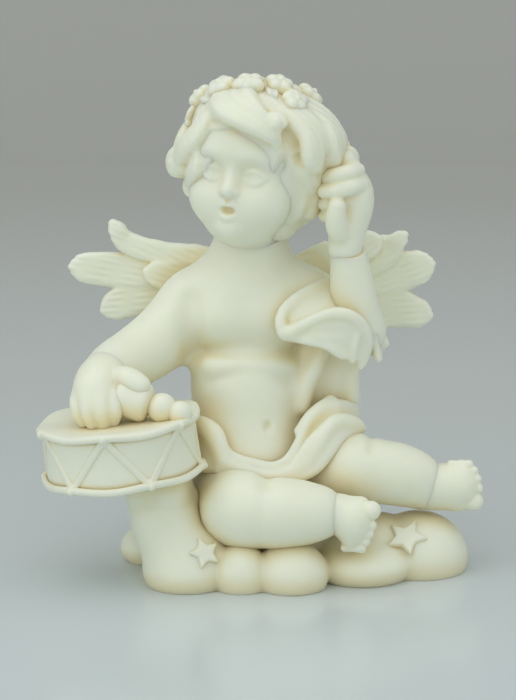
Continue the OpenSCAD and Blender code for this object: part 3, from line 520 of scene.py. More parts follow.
def makeLegs():
    clay = Clay(*rightLeg["box"], rightLeg["step"])
    buildUp(clay, rightLeg, ((limb, "thigh", 0), (limb, "calf", 2.5), (ball, "anklePad", 2)))
    clay.crease(rightLeg["dimple"], 1.3, 0.9)
    castPiece("right_leg_cast", clay, resin, ["right_leg"])
    clay = Clay(*leftLeg["box"], leftLeg["step"])
    buildUp(clay, leftLeg, ((limb, "thigh", 0), (limb, "calf", 2.5)))
    clay.crease(leftLeg["kneeFold"], 1.0, 0.6)
    castPiece("left_leg_cast", clay, resin, ["left_leg"])


makeBody()
makeLegs()

# The head has its own upright frame: x to the viewer's right, y to the back of the head, z up
headFrame = {"centre": (-1.2, 0.4, 80.5), "turn": -20, "lean": 5.0}
headPlace = (Matrix.Translation(Vector(headFrame["centre"]) * mm)
             @ Matrix.Rotation(math.radians(headFrame["lean"]), 4, "Y")
             @ Matrix.Rotation(math.radians(headFrame["turn"]), 4, "Z"))


face = {
    "step": 0.2, "box": ((-14, -17, -20), (14, 15, 15.5)),
    "cranium": ((0, 1.4, 3.0), (12.0, 12.2, 11.2)),
    "faceMass": ((0.6, -2.4, -4.6), (9.9, 9.6, 9.2)),
    "forehead": ((0, -5.4, 4.2), (8.8, 6.6, 6.6)),
    "jaw": ((0, -5.4, -9.4), (6.4, 5.4, 4.4)),
    "throat": ((0, -3.4, -12.0), (5.8, 5.4, 3.4)),
    "cheek": ((5.1, -6.9, -6.1), (4.6, 4.3, 4.4)),
    "chin": ((0, -9.4, -11.4), (2.4, 2.2, 1.9)),
    "socket": ((4.3, -13.5, -0.5), (3.4, 2.6, 2.3)),
    "eye": ((4.3, -8.5, -0.9), 2.5), "lidReach": 60, "lidRise": 30, "upperLid": 0.36, "lowerLid": 0.2,
    "lidOff": 0.1, "lidTaper": 0.12,
    "pupil": ((4.3, -11.55, -0.75), (0.75, 0.7, 0.8)),
    "brow": ((1.6, -10.3, 2.6, 0.4), (3.8, -10.9, 3.4, 0.5), (6.2, -9.6, 3.0, 0.4)),
    "nose": ((0, -10.4, 0.4, 0.9), (0, -11.3, -1.6, 1.0), (0, -12.6, -3.3, 1.25), (0, -12.7, -3.8, 1.25)),
    "nostril": ((1.15, -11.8, -4.0), (0.9, 1.0, 0.75)),
    "nostrilHole": ((0.65, -12.3, -4.75), (0.32, 0.4, 0.25)),
    "upperLip": ((-2.2, -10.6, -7.3, 0.3), (-0.9, -11.7, -6.6, 0.6), (0, -11.9, -6.8, 0.55),
                 (0.9, -11.7, -6.6, 0.6), (2.2, -10.6, -7.3, 0.3)),
    "lowerLip": ((-1.9, -10.5, -7.9, 0.3), (-0.8, -11.3, -8.9, 0.7), (0, -11.5, -9.1, 0.75),
                 (0.8, -11.3, -8.9, 0.7), (1.9, -10.5, -7.9, 0.3)),
    "mouth": ((0, -12.3, -7.8), (1.45, 1.5, 0.7)),
    "philtrum": ((0, -12.0, -5.2), (0, -12.0, -6.2)),
    "chinFold": ((-1.8, -10.4, -10.0), (0, -11.0, -10.3), (1.8, -10.4, -10.0)),
}


def mirrored(stations, side):
    return [(s[0] * side,) + tuple(s[1:]) for s in stations]


# A lid's edge, bowed over the eye ball from corner to corner
def lidLine(rise, fat):
    centre, reach = face["eye"]
    stations = []
    for k in range(-3, 4):
        a = math.radians(face["lidReach"] * k / 3)
        b = math.radians(rise * math.cos(math.pi / 2 * k / 3))
        way = np.array([math.sin(a) * math.cos(b), -math.cos(a) * math.cos(b), math.sin(b)])
        stations.append(tuple(np.array(centre) + way * (reach + face["lidOff"]))
                        + (fat * (1 - face["lidTaper"] * abs(k)),))
    return stations


def makeHead():
    f = face
    clay = Clay(*f["box"], f["step"])
    buildUp(clay, f, (
        (ball, "cranium", 0), (ball, "faceMass", 4), (ball, "forehead", 4), (ball, "jaw", 4),
        (ball, "throat", 3)))
    for side in (-1, 1):
        clay.add(sided(f["cheek"], side), 3)
    clay.add(ball(*f["chin"]), 2)
    shapeNeck(clay, 2.0, headPlace)
    lids = ((f["lidRise"], f["upperLid"], 0.6), (-f["lidRise"], f["lowerLid"], 0.9))
    for side in (-1, 1):
        clay.cut(sided(f["socket"], side), 3.0)
        clay.add(sided(f["eye"], side), 0.6)
        for rise, fat, blend in lids:
            clay.add(limb(mirrored(lidLine(rise, fat), side)), blend)
        clay.cut(sided(f["pupil"], side), 0.3)
        clay.add(limb(mirrored(f["brow"], side)), 2.5)
    clay.add(limb(f["nose"]), 1.8)
    for side in (-1, 1):
        clay.add(sided(f["nostril"], side), 0.7)
        clay.cut(sided(f["nostrilHole"], side), 0.4)
    buildUp(clay, f, ((limb, "upperLip", 0.8), (limb, "lowerLip", 0.8)))
    clay.cut(ball(*f["mouth"]), 0.7)
    clay.crease(f["philtrum"], 0.5, 0.2)
    clay.crease(f["chinFold"], 0.8, 0.3)
    castPiece("head_cast", clay, resin, ["head"], partings=[flip(neckParting)], place=headPlace)


# Hair: a cap open over the face, with locks combed over it and rolled curls
hair = {
    "step": 0.25, "box": ((-20, -18, -18), (21, 19.5, 18)), "blend": 1.5, "lockThick": 1.8,
    "thickShare": 0.75, "groove": 0.7, "grooveDeep": 0.24, "backGroove": 0.5, "backFrom": 95, "wave": 4.5,
    "waveTurn": 8, "sway": 0.16, "swayTurn": 6, "strands": (-0.5, 0.02, 0.54), "curlFront": 80,
    "curlLean": 0.8, "curlSamples": 22, "windIn": 0.8, "dome": 1.2, "curlTaper": 0.35,
    "capCentre": (0.6, 1.0, 2.0), "capSize": (12.8, 13.4, 13.0), "capLow": 14.8,
    "nape": ((0.4, 3.6, -6.2), (11.0, 9.4, 8.4)), "crown": ((0.6, 2.2, 1.6), (13.4, 13.4, 13.2)),
    "behindJaw": ((5.4, 2.6, -10.6), (4.2, 4.8, 4.4)),
    "faceOpening": ((1.8, -15.5, -5.8), (8.4, 10.5, 12.8)),
    "templeHollow": ((12.6, -8.8, -3.0), (4.8, 4.6, 8.5)),
    # A lock's stations: bearing from the face and height in degrees, lift off the cap and half width
    "locks": (
        ((-66, 66, -0.6, 3.0), (-52, 50, 0.2, 3.2), (-45, 33, 0.8, 2.8), (-47, 16, 1.2, 2.5),
         (-56, 0, 2.0, 2.5), (-66, -12, 2.6, 1.8)),
        ((-44, 0, 0.4, 1.6), (-46, -14, 1.0, 2.0), (-54, -28, 1.0, 1.8), (-66, -38, 0.6, 1.2)),
        ((-42, 66, -0.6, 2.6), (-32, 50, 0.2, 2.9), (-26, 38, 0.3, 2.4), (-22, 29, 0.1, 1.2)),
        ((-88, 62, -0.6, 3.4), (-84, 44, 0.2, 3.4), (-80, 26, 0.8, 3.2), (-80, 8, 1.8, 3.0),
         (-84, -6, 2.6, 2.4)),
        ((-36, 68, -0.2, 3.2), (-24, 56, 1.2, 4.3), (-6, 46, 2.1, 4.6), (10, 37, 2.5, 3.6),
         (22, 27, 2.1, 2.2), (31, 20, 1.4, 1.3), (40, 13, 0.7, 0.5)),
        ((6, 72, -0.4, 2.2), (22, 60, 0.6, 2.4), (34, 50, 0.9, 2.2), (42, 42, 0.4, 1.4)),
        ((42, 58, -0.4, 2.6), (54, 42, 1.4, 3.0), (58, 29, 2.4, 3.1), (63, 16, 2.8, 3.0),
         (71, 5, 2.4, 2.6), (82, -1, 1.4, 1.6)),
        ((68, 62, -0.4, 3.2), (80, 46, 1.0, 3.8), (85, 30, 2.8, 3.8), (90, 17, 3.9, 3.6),
         (95, 4, 3.4, 3.2), (103, -10, 2.4, 2.4)),
        ((46, 12, -1.8, 1.3), (51, -4, -1.6, 1.5), (57, -20, -0.9, 1.8), (66, -34, 0.0, 1.8),
         (72, -46, 0.6, 1.4)),
        ((61, 8, -0.9, 1.5), (68, -8, -0.4, 1.8), (75, -22, 0.3, 2.0), (83, -36, 0.9, 2.0),
         (88, -48, 0.8, 1.5)),
        ((74, -2, 0.4, 2.4), (83, -16, 1.2, 2.6), (94, -28, 1.4, 2.6), (108, -42, 0.8, 2.0)),
        ((94, 2, 0.4, 3.4), (104, -14, 1.4, 3.4), (114, -30, 1.4, 3.0), (124, -44, 0.8, 2.2)),
        ((98, 66, -0.8, 3.6), (111, 46, 0.0, 4.2), (116, 26, 0.9, 4.2), (119, 6, 1.6, 3.8),
         (115, -14, 1.6, 3.0)),
        ((-104, 64, -0.8, 3.2), (-104, 44, 0.0, 3.6), (-100, 24, 0.8, 3.6), (-104, 4, 1.6, 3.2),
         (-108, -12, 1.8, 2.4)),
        ((-124, 64, -0.8, 3.4), (-124, 42, 0.0, 4.0), (-118, 20, 0.8, 4.0), (-124, 0, 1.6, 3.6),
         (-116, -20, 1.6, 3.2), (-120, -40, 0.8, 2.2)),
        ((146, 64, -0.8, 3.6), (140, 44, 0.0, 4.2), (132, 24, 0.8, 4.4), (126, 4, 1.5, 4.2),
         (133, -16, 1.8, 3.8), (126, -38, 1.2, 2.4)),
        ((178, 60, -0.8, 3.8), (173, 40, 0.0, 4.4), (165, 20, 0.8, 4.4), (172, 0, 1.5, 4.2),
         (163, -20, 1.8, 3.8), (170, -42, 1.2, 2.4)),
        ((208, 62, -0.8, 3.8), (205, 42, 0.0, 4.4), (199, 22, 0.8, 4.4), (207, 2, 1.5, 4.2),
         (199, -18, 1.8, 3.8), (206, -42, 1.2, 2.4)),
        ((228, 64, -0.8, 3.4), (230, 44, 0.0, 4.0), (226, 24, 0.8, 4.2), (234, 4, 1.5, 4.0),
         (226, -16, 1.8, 3.6), (234, -40, 1.2, 2.4)),
    ),
    # A curl: bearing, height, lift, size, the strand's thickness and its turns
    "curls": ((-70, -11, 3.2, 2.4, 1.7, 1.2), (-66, -29, 1.6, 1.5, 1.2, 1.2),
              (-98, -24, 2.0, 1.9, 1.35, 1.3), (32, 32, 3.0, 1.6, 0.85, 1.15),
              (92, -34, 2.2, 1.9, 1.35, 1.3), (108, -10, 2.6, 2.1, 1.4, 1.4),
              (126, -48, 2.2, 2.0, 1.4, 1.3), (148, -46, 2.4, 2.2, 1.5, -1.4),
              (170, -50, 2.4, 2.1, 1.4, 1.3), (192, -47, 2.4, 2.2, 1.5, -1.4),
              (214, -50, 2.4, 2.1, 1.4, 1.3), (236, -46, 2.2, 2.0, 1.4, -1.3),
              (139, -24, 2.2, 2.0, 1.4, 1.3), (184, -22, 2.2, 2.0, 1.4, -1.3),
              (222, -26, 2.2, 1.9, 1.3, 1.3)),
}


def onCap(bearing, height, lift):
    h = hair
    a, b = math.radians(bearing), math.radians(height)
    way = np.array([math.cos(b) * math.sin(a), -math.cos(b) * math.cos(a), math.sin(b)])
    size = np.array(h["capSize"]) if b > 0 else np.array(h["capSize"][:2] + (h["capLow"],))
    out = way / size
    out /= np.linalg.norm(out)
    return np.array(h["capCentre"]) + way * size + out * lift, out


# A lock: a soft band that hugs the cap, with shallow grooves between its strands
def combLock(clay, lock):
    h = hair
    path = smoothPath(lock, 4)
    path[:, 0] += h["wave"] * np.sin(np.linspace(0, h["waveTurn"], len(path)) + lock[0][0])
    places = [onCap(*p[:3]) for p in path]
    spots = np.array([p[0] for p in places])
    outs = np.array([p[1] for p in places])
    wide = path[:, 3]
    thick = np.minimum(h["lockThick"], wide * h["thickShare"])
    clay.add(band(np.column_stack([spots, wide, thick, outs]), 1), h["blend"])
    sides = np.cross(np.gradient(spots, axis=0), outs)
    sides /= np.linalg.norm(sides, axis=1)[:, None]
    sway = h["sway"] * np.sin(np.linspace(0, h["swayTurn"], len(path)))
    deep = h["backGroove"] if abs(lock[0][0]) > h["backFrom"] else h["grooveDeep"]
    for share in h["strands"]:
        across = (share + sway) * wide
        up = thick * np.sqrt(1 - np.minimum(1, np.abs(share + sway)) ** 2)
        clay.crease(spots + sides * across[:, None] + outs * up[:, None], h["groove"], deep, 1)


# A snail of hair that winds in, seen from outside the head
def rollCurl(clay, curl):
    bearing, height, lift, size, fat, turns = curl
    centre, out = onCap(bearing, height, lift)
    if abs(bearing) < hair["curlFront"]:
        out = out + [0, -hair["curlLean"], 0]
    out = out / np.linalg.norm(out)
    side = np.cross([0, 0, 1.0], out)
    side /= np.linalg.norm(side)
    up = np.cross(out, side)
    t = np.linspace(0, 1, hair["curlSamples"])
    angle = 2 * math.pi * turns * t
    reach = size * (1 - hair["windIn"] * t)
    spine = (centre + side * (reach * np.cos(angle))[:, None] + up * (reach * np.sin(angle))[:, None]
             + out * (hair["dome"] * t - hair["dome"] / 2)[:, None])
    clay.add(ball(centre - out * 1.2, size * 1.2), 1.0)
    clay.add(limb(np.column_stack([spine, fat * (1 - hair["curlTaper"] * t)]), 1), 0.6)


def makeHair():
    h = hair
    clay = Clay(*h["box"], h["step"])
    c, r = h["capCentre"], h["capSize"]
    clay.add(ball(c, r))
    clay.add(ball(c, r[:2] + (h["capLow"],)), 1)
    buildUp(clay, h, ((ball, "crown", 1), (ball, "nape", 2.0)))
    clay.cut(ball(*h["faceOpening"]), 1.0)
    clay.cut(ball(*h["templeHollow"]), 1.5)
    clay.add(ball(*h["behindJaw"]), 2.0)
    for lock in h["locks"]:
        combLock(clay, lock)
    for curl in h["curls"]:
        rollCurl(clay, curl)
    castPiece("hair_cast", clay, resin, ["hair"], place=headPlace)


makeHead()
makeHair()

# Feathers, the long ones first and then the coverts: stations of x, y, z and half width
wings = {
    "step": 0.25, "thick": 1.25, "barb": 1.3, "barbDeep": 0.09, "slant": 0.16, "quill": 0.5,
    "quillHigh": 0.3, "tipTurns": (25, 50, 70, 84), "facing": (0.0, -1.0, 0.12), "bow": 0.8,
    "blend": 0.35, "tipThick": 0.8, "wander": (0.9, 0.7),
    "rightBox": ((-44, 5, 34), (0, 22, 72)), "leftBox": ((0, 5, 34), (43, 22, 73)),
    "right": (
        ((-8, 12.4, 47, 3.0), (-17, 13.4, 44.4, 4.2), (-25.4, 13.4, 40.8, 3.2)),
        ((-8, 12.2, 55, 2.6), (-19, 13.8, 53.4, 3.4), (-25, 14.2, 51.2, 3.9), (-28.4, 14.6, 49.6, 3.3)),
        ((-9, 12.6, 57, 2.6), (-21.7, 14.0, 56.3, 3.3), (-28.6, 14.8, 56.5, 3.7),
         (-34.6, 15.2, 57.0, 3.2)),
        ((-6, 11.6, 58.6, 2.2), (-12, 12.4, 59.8, 2.4), (-18.6, 13.0, 60.2, 2.4),
         (-23.6, 13.6, 61.2, 2.4), (-27.0, 14.4, 62.6, 2.3), (-28.4, 14.8, 64.6, 1.9)),
        ((-4, 10.8, 53, 4.0), (-13, 12.2, 54.4, 4.8), (-19.6, 12.6, 56.0, 3.0)),
        ((-4, 12.6, 48.6, 2.8), (-11, 14.4, 47.8, 3.4), (-16.4, 15.4, 46.6, 2.4)),
        ((-4, 12.8, 51.6, 2.8), (-12, 15.0, 51.6, 3.4), (-18.8, 16.0, 51.4, 2.4)),
        ((-4, 12.8, 55.4, 2.8), (-12, 14.8, 56.2, 3.4), (-18.4, 16.0, 57.2, 2.4)),
    ),
    "left": (
        ((8, 12.2, 46.6, 2.8), (17, 12.6, 44.4, 3.4), (23.4, 12.8, 42.4, 2.6)),
        ((8.6, 12.4, 49, 3.0), (20, 13.6, 48.8, 4.2), (27.6, 14.6, 48.8, 4.3), (31.8, 15.2, 47.8, 3.3)),
        ((8, 12.6, 56, 3.0), (17, 13.8, 59.4, 3.8), (21.6, 14.4, 61.6, 3.2)),
        ((9, 12.6, 54, 3.0), (19, 14.2, 57.4, 3.8), (25.6, 15.0, 60.2, 3.6), (28.2, 15.4, 62.4, 2.0)),
        ((9, 12.6, 52, 3.0), (20, 14.2, 54.4, 4.0), (27.6, 15.2, 55.8, 4.4), (31.8, 15.8, 56.8, 3.7)),
        ((5, 11.4, 52, 3.4), (9.6, 12.8, 56, 4.2), (13.4, 13.4, 59.0, 3.6)),
        ((4, 10.6, 51, 4.0), (12, 12.2, 51.4, 5.0), (19.4, 12.8, 51.6, 3.6)),
        ((4, 12.6, 48.2, 2.8), (11, 14.4, 47.6, 3.4), (16.6, 15.6, 47.2, 2.4)),
        ((4, 12.8, 51.6, 2.8), (12, 15.2, 52.0, 3.4), (18.8, 16.6, 52.6, 2.4)),
        ((4, 12.8, 55.0, 2.8), (11.6, 15.0, 56.6, 3.4), (17.0, 16.4, 58.2, 2.4)),
    ),
    "root": ((6.2, 10.6, 51), (4.6, 3.4, 6.4)),
}


# One feather: a rounded blade with shallow barbs that run out along it at a slant
def layFeather(clay, feather):
    path = np.array(feather, float)
    along = path[-1, :3] - path[0, :3]
    along /= np.linalg.norm(along)
    side = np.cross(along, [0, 1, 0])
    side /= np.linalg.norm(side)
    if side[2] < 0:
        side = -side
    facing = np.array(wings["facing"])
    bow = np.sin(np.linspace(0, math.pi, len(path))) * wings["bow"]
    thick = np.linspace(1, wings["tipThick"], len(path)) * wings["thick"]
    stations = [list(p[:3] + [0, b, 0]) + [p[3], t] + list(facing) for p, b, t in zip(path, bow, thick)]
    tip = path[-1, :3] - path[-2, :3]
    tip /= np.linalg.norm(tip)
    for turn in wings["tipTurns"]:
        end = path[-1, :3] + tip * path[-1, 3] * math.sin(math.radians(turn))
        stations.append(list(end) + [path[-1, 3] * math.cos(math.radians(turn)), thick[-1]] + list(facing))
    blade = band(stations, 4)
    picks, spots = clay.window(blade[0], blade[1], bandReach)
    if not picks:
        return
    x, y, z = spread(*spots)
    forth = (x - path[0, 0]) * along[0] + (y - path[0, 1]) * along[1] + (z - path[0, 2]) * along[2]
    across = (x - path[0, 0]) * side[0] + (y - path[0, 1]) * side[1] + (z - path[0, 2]) * side[2]
    barbs = np.cos(2 * math.pi * (across - wings["slant"] * forth) / wings["barb"])
    wander = 0.5 + 0.5 * np.sin(wings["wander"][0] * forth + wings["wander"][1] * across)
    body = blade[2](*spots) + (wings["barbDeep"] * barbs * wander).astype(np.float32)
    clay.field[picks] = softMin(clay.field[picks], body, wings["blend"])
    quill = path[:, :3] + np.column_stack([0 * bow, bow + wings["thick"], 0 * bow])
    clay.crease(quill, wings["quill"], -wings["quillHigh"])


def makeWing(side):
    clay = Clay(*wings[side + "Box"], wings["step"])
    clay.add(sided(wings["root"], -1 if side == "right" else 1))
    for feather in wings[side]:
        layFeather(clay, feather)
    castPiece(side + "_wing_cast", clay, resin, [side + "_wing"])


for side in ("right", "left"):
    makeWing(side)

# Hands: fingers in a row, each a chain of joints, and a thumb
hands = {
    "step": 0.2, "rightBox": ((-39, -27, 30), (-18, -7, 48)), "leftBox": ((9, -13, 60), (25, 4, 84)),
    "rightPalm": ((-30.0, -13.0, 40.6, 4.9), (-30.6, -16.0, 40.0, 5.1), (-31.2, -18.6, 38.8, 4.8),
                  (-31.0, -20.4, 37.0, 3.9)),
    "rightFingers": (
        ((-33.8, -17.6, 39.2, 1.7), (-34.8, -19.6, 37.4, 1.75), (-34.6, -20.8, 35.4, 1.6),
         (-33.8, -20.8, 33.4, 1.3)),
        ((-32.2, -19.0, 39.8, 1.8), (-32.8, -21.6, 38.2, 1.85), (-32.6, -22.8, 35.8, 1.7),
         (-32.0, -22.4, 33.4, 1.35)),
        ((-30.0, -19.2, 40.0, 1.8), (-30.3, -22.1, 38.4, 1.85), (-30.2, -23.3, 35.8, 1.7),
         (-29.9, -22.8, 33.4, 1.35)),
        ((-28.0, -18.6, 39.8, 1.7), (-27.8, -21.4, 38.4, 1.8), (-27.7, -22.7, 36.0, 1.65),
         (-28.0, -22.0, 33.8, 1.3)),
    ),
    "rightThumb": ((-28.2, -16.6, 41.0, 1.9), (-26.0, -19.2, 41.8, 2.2), (-24.0, -20.8, 41.2, 2.3),
                   (-22.8, -21.4, 40.6, 2.1)),
    "leftPalm": ((17.2, -4.0, 64.6, 3.4), (17.6, -3.8, 67.8, 3.7), (18.2, -3.4, 71.6, 4.1),
                 (18.4, -3.0, 75.2, 4.0), (17.6, -2.8, 78.4, 3.3), (16.9, -2.6, 81.4, 3.0)),
    "leftBack": ((19.6, -3.2, 74.4), (2.6, 3.6, 4.6)),
    "leftFingers": (
        ((19.4, -4.6, 80.0, 1.6), (17.8, -6.8, 80.0, 1.65), (15.4, -7.4, 79.5, 1.6),
         (13.4, -6.0, 79.0, 1.4)),
        ((20.0, -5.2, 77.4, 1.65), (18.2, -7.4, 77.2, 1.75), (15.4, -8.0, 76.6, 1.65),
         (13.0, -6.6, 76.2, 1.45)),
        ((19.8, -4.6, 74.8, 1.6), (17.2, -6.2, 74.2, 1.55), (14.6, -6.2, 73.8, 1.5),
         (12.8, -4.6, 73.6, 1.4)),
        ((19.2, -4.4, 72.2, 1.5), (16.6, -5.8, 71.6, 1.45), (14.4, -5.6, 71.2, 1.4),
         (13.2, -4.0, 71.0, 1.3)),
    ),
    "leftThumb": ((17.4, -4.6, 66.4, 1.8), (15.8, -7.0, 68.4, 2.15), (15.2, -8.2, 71.0, 2.1),
                  (15.4, -8.8, 73.6, 1.75)),
}


def makeHand(side):
    h = hands
    clay = Clay(*h[side + "Box"], h["step"])
    clay.add(limb(h[side + "Palm"]))
    if side == "left":
        clay.add(ball(*h["leftBack"]), 2.0)
    for finger in h[side + "Fingers"]:
        clay.add(limb(finger), 0.6)
    clay.add(limb(h[side + "Thumb"]), 0.7)
    castPiece(side + "_hand_cast", clay, resin, [side + "_hand"])


# Feet: an instep, the ball of the foot and the tips of five toes, the big toe first
feet = {
    "step": 0.2, "bigToe": 1.9, "toe": 1.2, "toeLess": 0.07,
    "joints": ((1.6, 1.0), (0.8, 0.86), (0, 1.0)),
    "rightBox": ((8, -28, 5), (28, -14, 22)), "leftBox": ((28, -15, 9), (48, -1, 26)),
    "rightInstep": ((12.6, -20.2, 15.0, 3.8), (15.6, -20.6, 14.8, 4.0), (18.2, -21.0, 13.8, 4.3)),
    "rightBall": ((19.2, -21.3, 12.8), (2.6, 2.9, 5.4), 14),
    "rightToes": ((22.0, -22.6, 16.0), (22.0, -22.8, 13.1), (21.5, -22.9, 11.4), (20.9, -22.9, 9.8),
                  (20.2, -22.8, 8.4)),
    "rightReach": (2.0, -0.8, 0.1),
    "leftInstep": ((32.6, -7.6, 16.8, 4.5), (36.4, -7.8, 16.9, 4.7), (39.8, -8.0, 17.2, 4.5)),
    "leftBall": ((40.2, -8.1, 17.3), (2.4, 2.9, 5.0), 6),
    "leftToes": ((43.0, -9.6, 14.4), (43.6, -9.6, 17.1), (43.4, -9.4, 18.9), (42.8, -9.2, 20.5),
                 (41.9, -9.0, 21.8)),
    "leftReach": (2.2, -0.3, 0.1),
}


def makeFoot(side):
    f = feet
    clay = Clay(*f[side + "Box"], f["step"])
    clay.add(limb(f[side + "Instep"]))
    c, r, turn = f[side + "Ball"]
    clay.add(ball(c, r, Matrix.Rotation(math.radians(turn), 3, "Y")), 2)
    reach = np.array(f[side + "Reach"])
    for i, tip in enumerate(f[side + "Toes"]):
        fat = f["bigToe"] if i == 0 else f["toe"] - f["toeLess"] * i
        toe = [list(np.array(tip) - reach * back) + [fat * slim] for back, slim in f["joints"]]
        clay.add(limb(toe), 0.35)
    castPiece(side + "_foot_cast", clay, resin, [side + "_foot"])


for side in ("right", "left"):
    makeHand(side)
for side in ("right", "left"):
    makeFoot(side)

# Cloth, cast in resin like the rest: sheets between rolled folds
cloth = {
    "step": 0.3, "box": ((-20, -20, 6.6), (25, 22, 42)), "front": ((0, -4.5, 0), (0.0, 1, 0)),
    "foldDrift": (-1.2, 1.6), "foldTop": (0.8, 0.6, 23.5, 0.2), "foldMiddle": (1.02, 1.03, 17.0),
    "foldWide": 1.6, "foldDeep": 1.6,
    "upperRoll": ((-6.2, -12.8, 25.0, 1.0), (-3.6, -13.7, 24.0, 1.0), (-0.9, -14.2, 23.4, 1.0),
                  (2.6, -14.4, 22.7, 1.0), (5.6, -14.0, 23.8, 1.0), (8.0, -12.4, 27.0, 1.0),
                  (9.6, -10.6, 30.6, 1.0), (12.0, -8.2, 32.8, 1.1), (14.4, -5.4, 34.0, 1.1)),
    "crest": ((-6.4, -14.0, 23.4, 1.2), (-3.0, -15.3, 22.3, 1.3), (0.4, -15.9, 21.4, 1.3),
              (4.8, -15.9, 21.3, 1.3), (8.6, -15.0, 23.0, 1.3), (11.9, -13.4, 27.2, 1.3),
              (14.2, -11.4, 30.4, 1.4), (16.5, -9.2, 30.8, 1.5), (19.2, -6.8, 29.6, 1.4),
              (20.4, -5.6, 28.4, 1.1)),
    "apron": ((-7.4, -14.0, 22.6, 1.6, 1.0, -0.3, -1, 0.3), (-3.0, -15.6, 21.6, 1.6, 1.1, 0, -1, 0.4),
              (0.9, -16.2, 20.9, 1.5, 1.1, 0, -1, 0.4), (6.0, -16.0, 21.3, 1.9, 1.1, 0.1, -1, 0.4),
              (9.8, -14.8, 23.6, 3.0, 1.1, 0.3, -1, 0.4), (12.8, -12.8, 26.8, 3.2, 1.2, 0.5, -1, 0.4),
              (15.8, -10.0, 28.6, 2.6, 1.4, 0.7, -1, 0.4), (19.0, -7.0, 28.4, 1.8, 1.2, 0.9, -0.8, 0.3)),
    "inside": ((9.0, -11.0, 28.0, 2.4, 1.0, 0.3, -1, 0.5), (12.0, -9.0, 30.0, 3.4, 1.2, 0.4, -1, 0.4),
               (15.4, -6.4, 31.0, 3.4, 1.4, 0.6, -1, 0.3), (18.4, -2.6, 28.6, 4.6, 1.4, 1, -0.6, 0.2)),
    "lobe": ((-14.2, -2.4, 28.6, 1.6), (-12.8, -6.4, 29.4, 1.9), (-10.8, -9.2, 29.4, 2.1),
             (-8.9, -11.2, 28.4, 2.2), (-7.7, -12.6, 26.2, 2.0), (-6.8, -13.6, 24.0, 1.7)),
    "lobeSheet": ((-15.4, -2.0, 25.0, 3.6, 1.2, -1, -0.4, 0.2),
                  (-13.4, -7.4, 25.0, 4.0, 1.2, -0.8, -0.8, 0.2),
                  (-10.4, -11.4, 24.0, 3.4, 1.2, -0.5, -1, 0.2),
                  (-7.4, -13.8, 22.8, 1.8, 1.0, -0.2, -1, 0.3)),
    "hips": ((0, 4.6, 15.5), (16.4, 13.2, 13.2)),
    "hipTop": ((0, 4, 27.0), (0.28, -0.12, 1)),
    "rim": ((-15.2, -1.0, 22.4, 1.1), (-14.4, 5.0, 22.2, 1.2), (-10.6, 11.2, 22.0, 1.3),
            (-4.0, 14.6, 22.6, 1.4), (3.0, 14.8, 23.0, 1.4), (8.4, 12.4, 23.2, 1.3),
            (11.4, 9.4, 23.4, 0.8)),
    "hipFolds": ((-16.2, 5, 12), (-13.4, 12.4, 11), (-8.0, 16.6, 10), (-1.5, 18.2, 10), (5.0, 17.8, 10),
                 (10.6, 15.6, 10.5), (14.8, 11.4, 11.5), (17.2, 4.6, 13)),
}


def makeHipDrape():
    c = cloth
    clay = Clay(*c["box"], c["step"])
    clay.add(ball(*c["hips"]))
    clay.cut(below(*c["front"]), 2.0)
    clay.keep(below(*c["hipTop"]), 1.6)
    clay.add(limb(c["rim"]), 1.0)
    for i, foot in enumerate(c["hipFolds"]):
        drift = c["foldDrift"][i % 2]
        near, back, high, climb = c["foldTop"]
        top = [foot[0] * near + drift, foot[1] * near + back, high + foot[0] * climb]
        wide, deep, level = c["foldMiddle"]
        middle = [foot[0] * wide + drift, foot[1] * deep, level]
        clay.crease((top, middle, foot), c["foldWide"], c["foldDeep"])
    buildUp(clay, c, (
        (band, "apron", 0.8), (limb, "upperRoll", 0.7), (band, "inside", 1.0), (limb, "crest", 0.9),
        (band, "lobeSheet", 1.0), (limb, "lobe", 1.0)))
    castPiece("hip_drape_cast", clay, resin, ["hip_drape"])


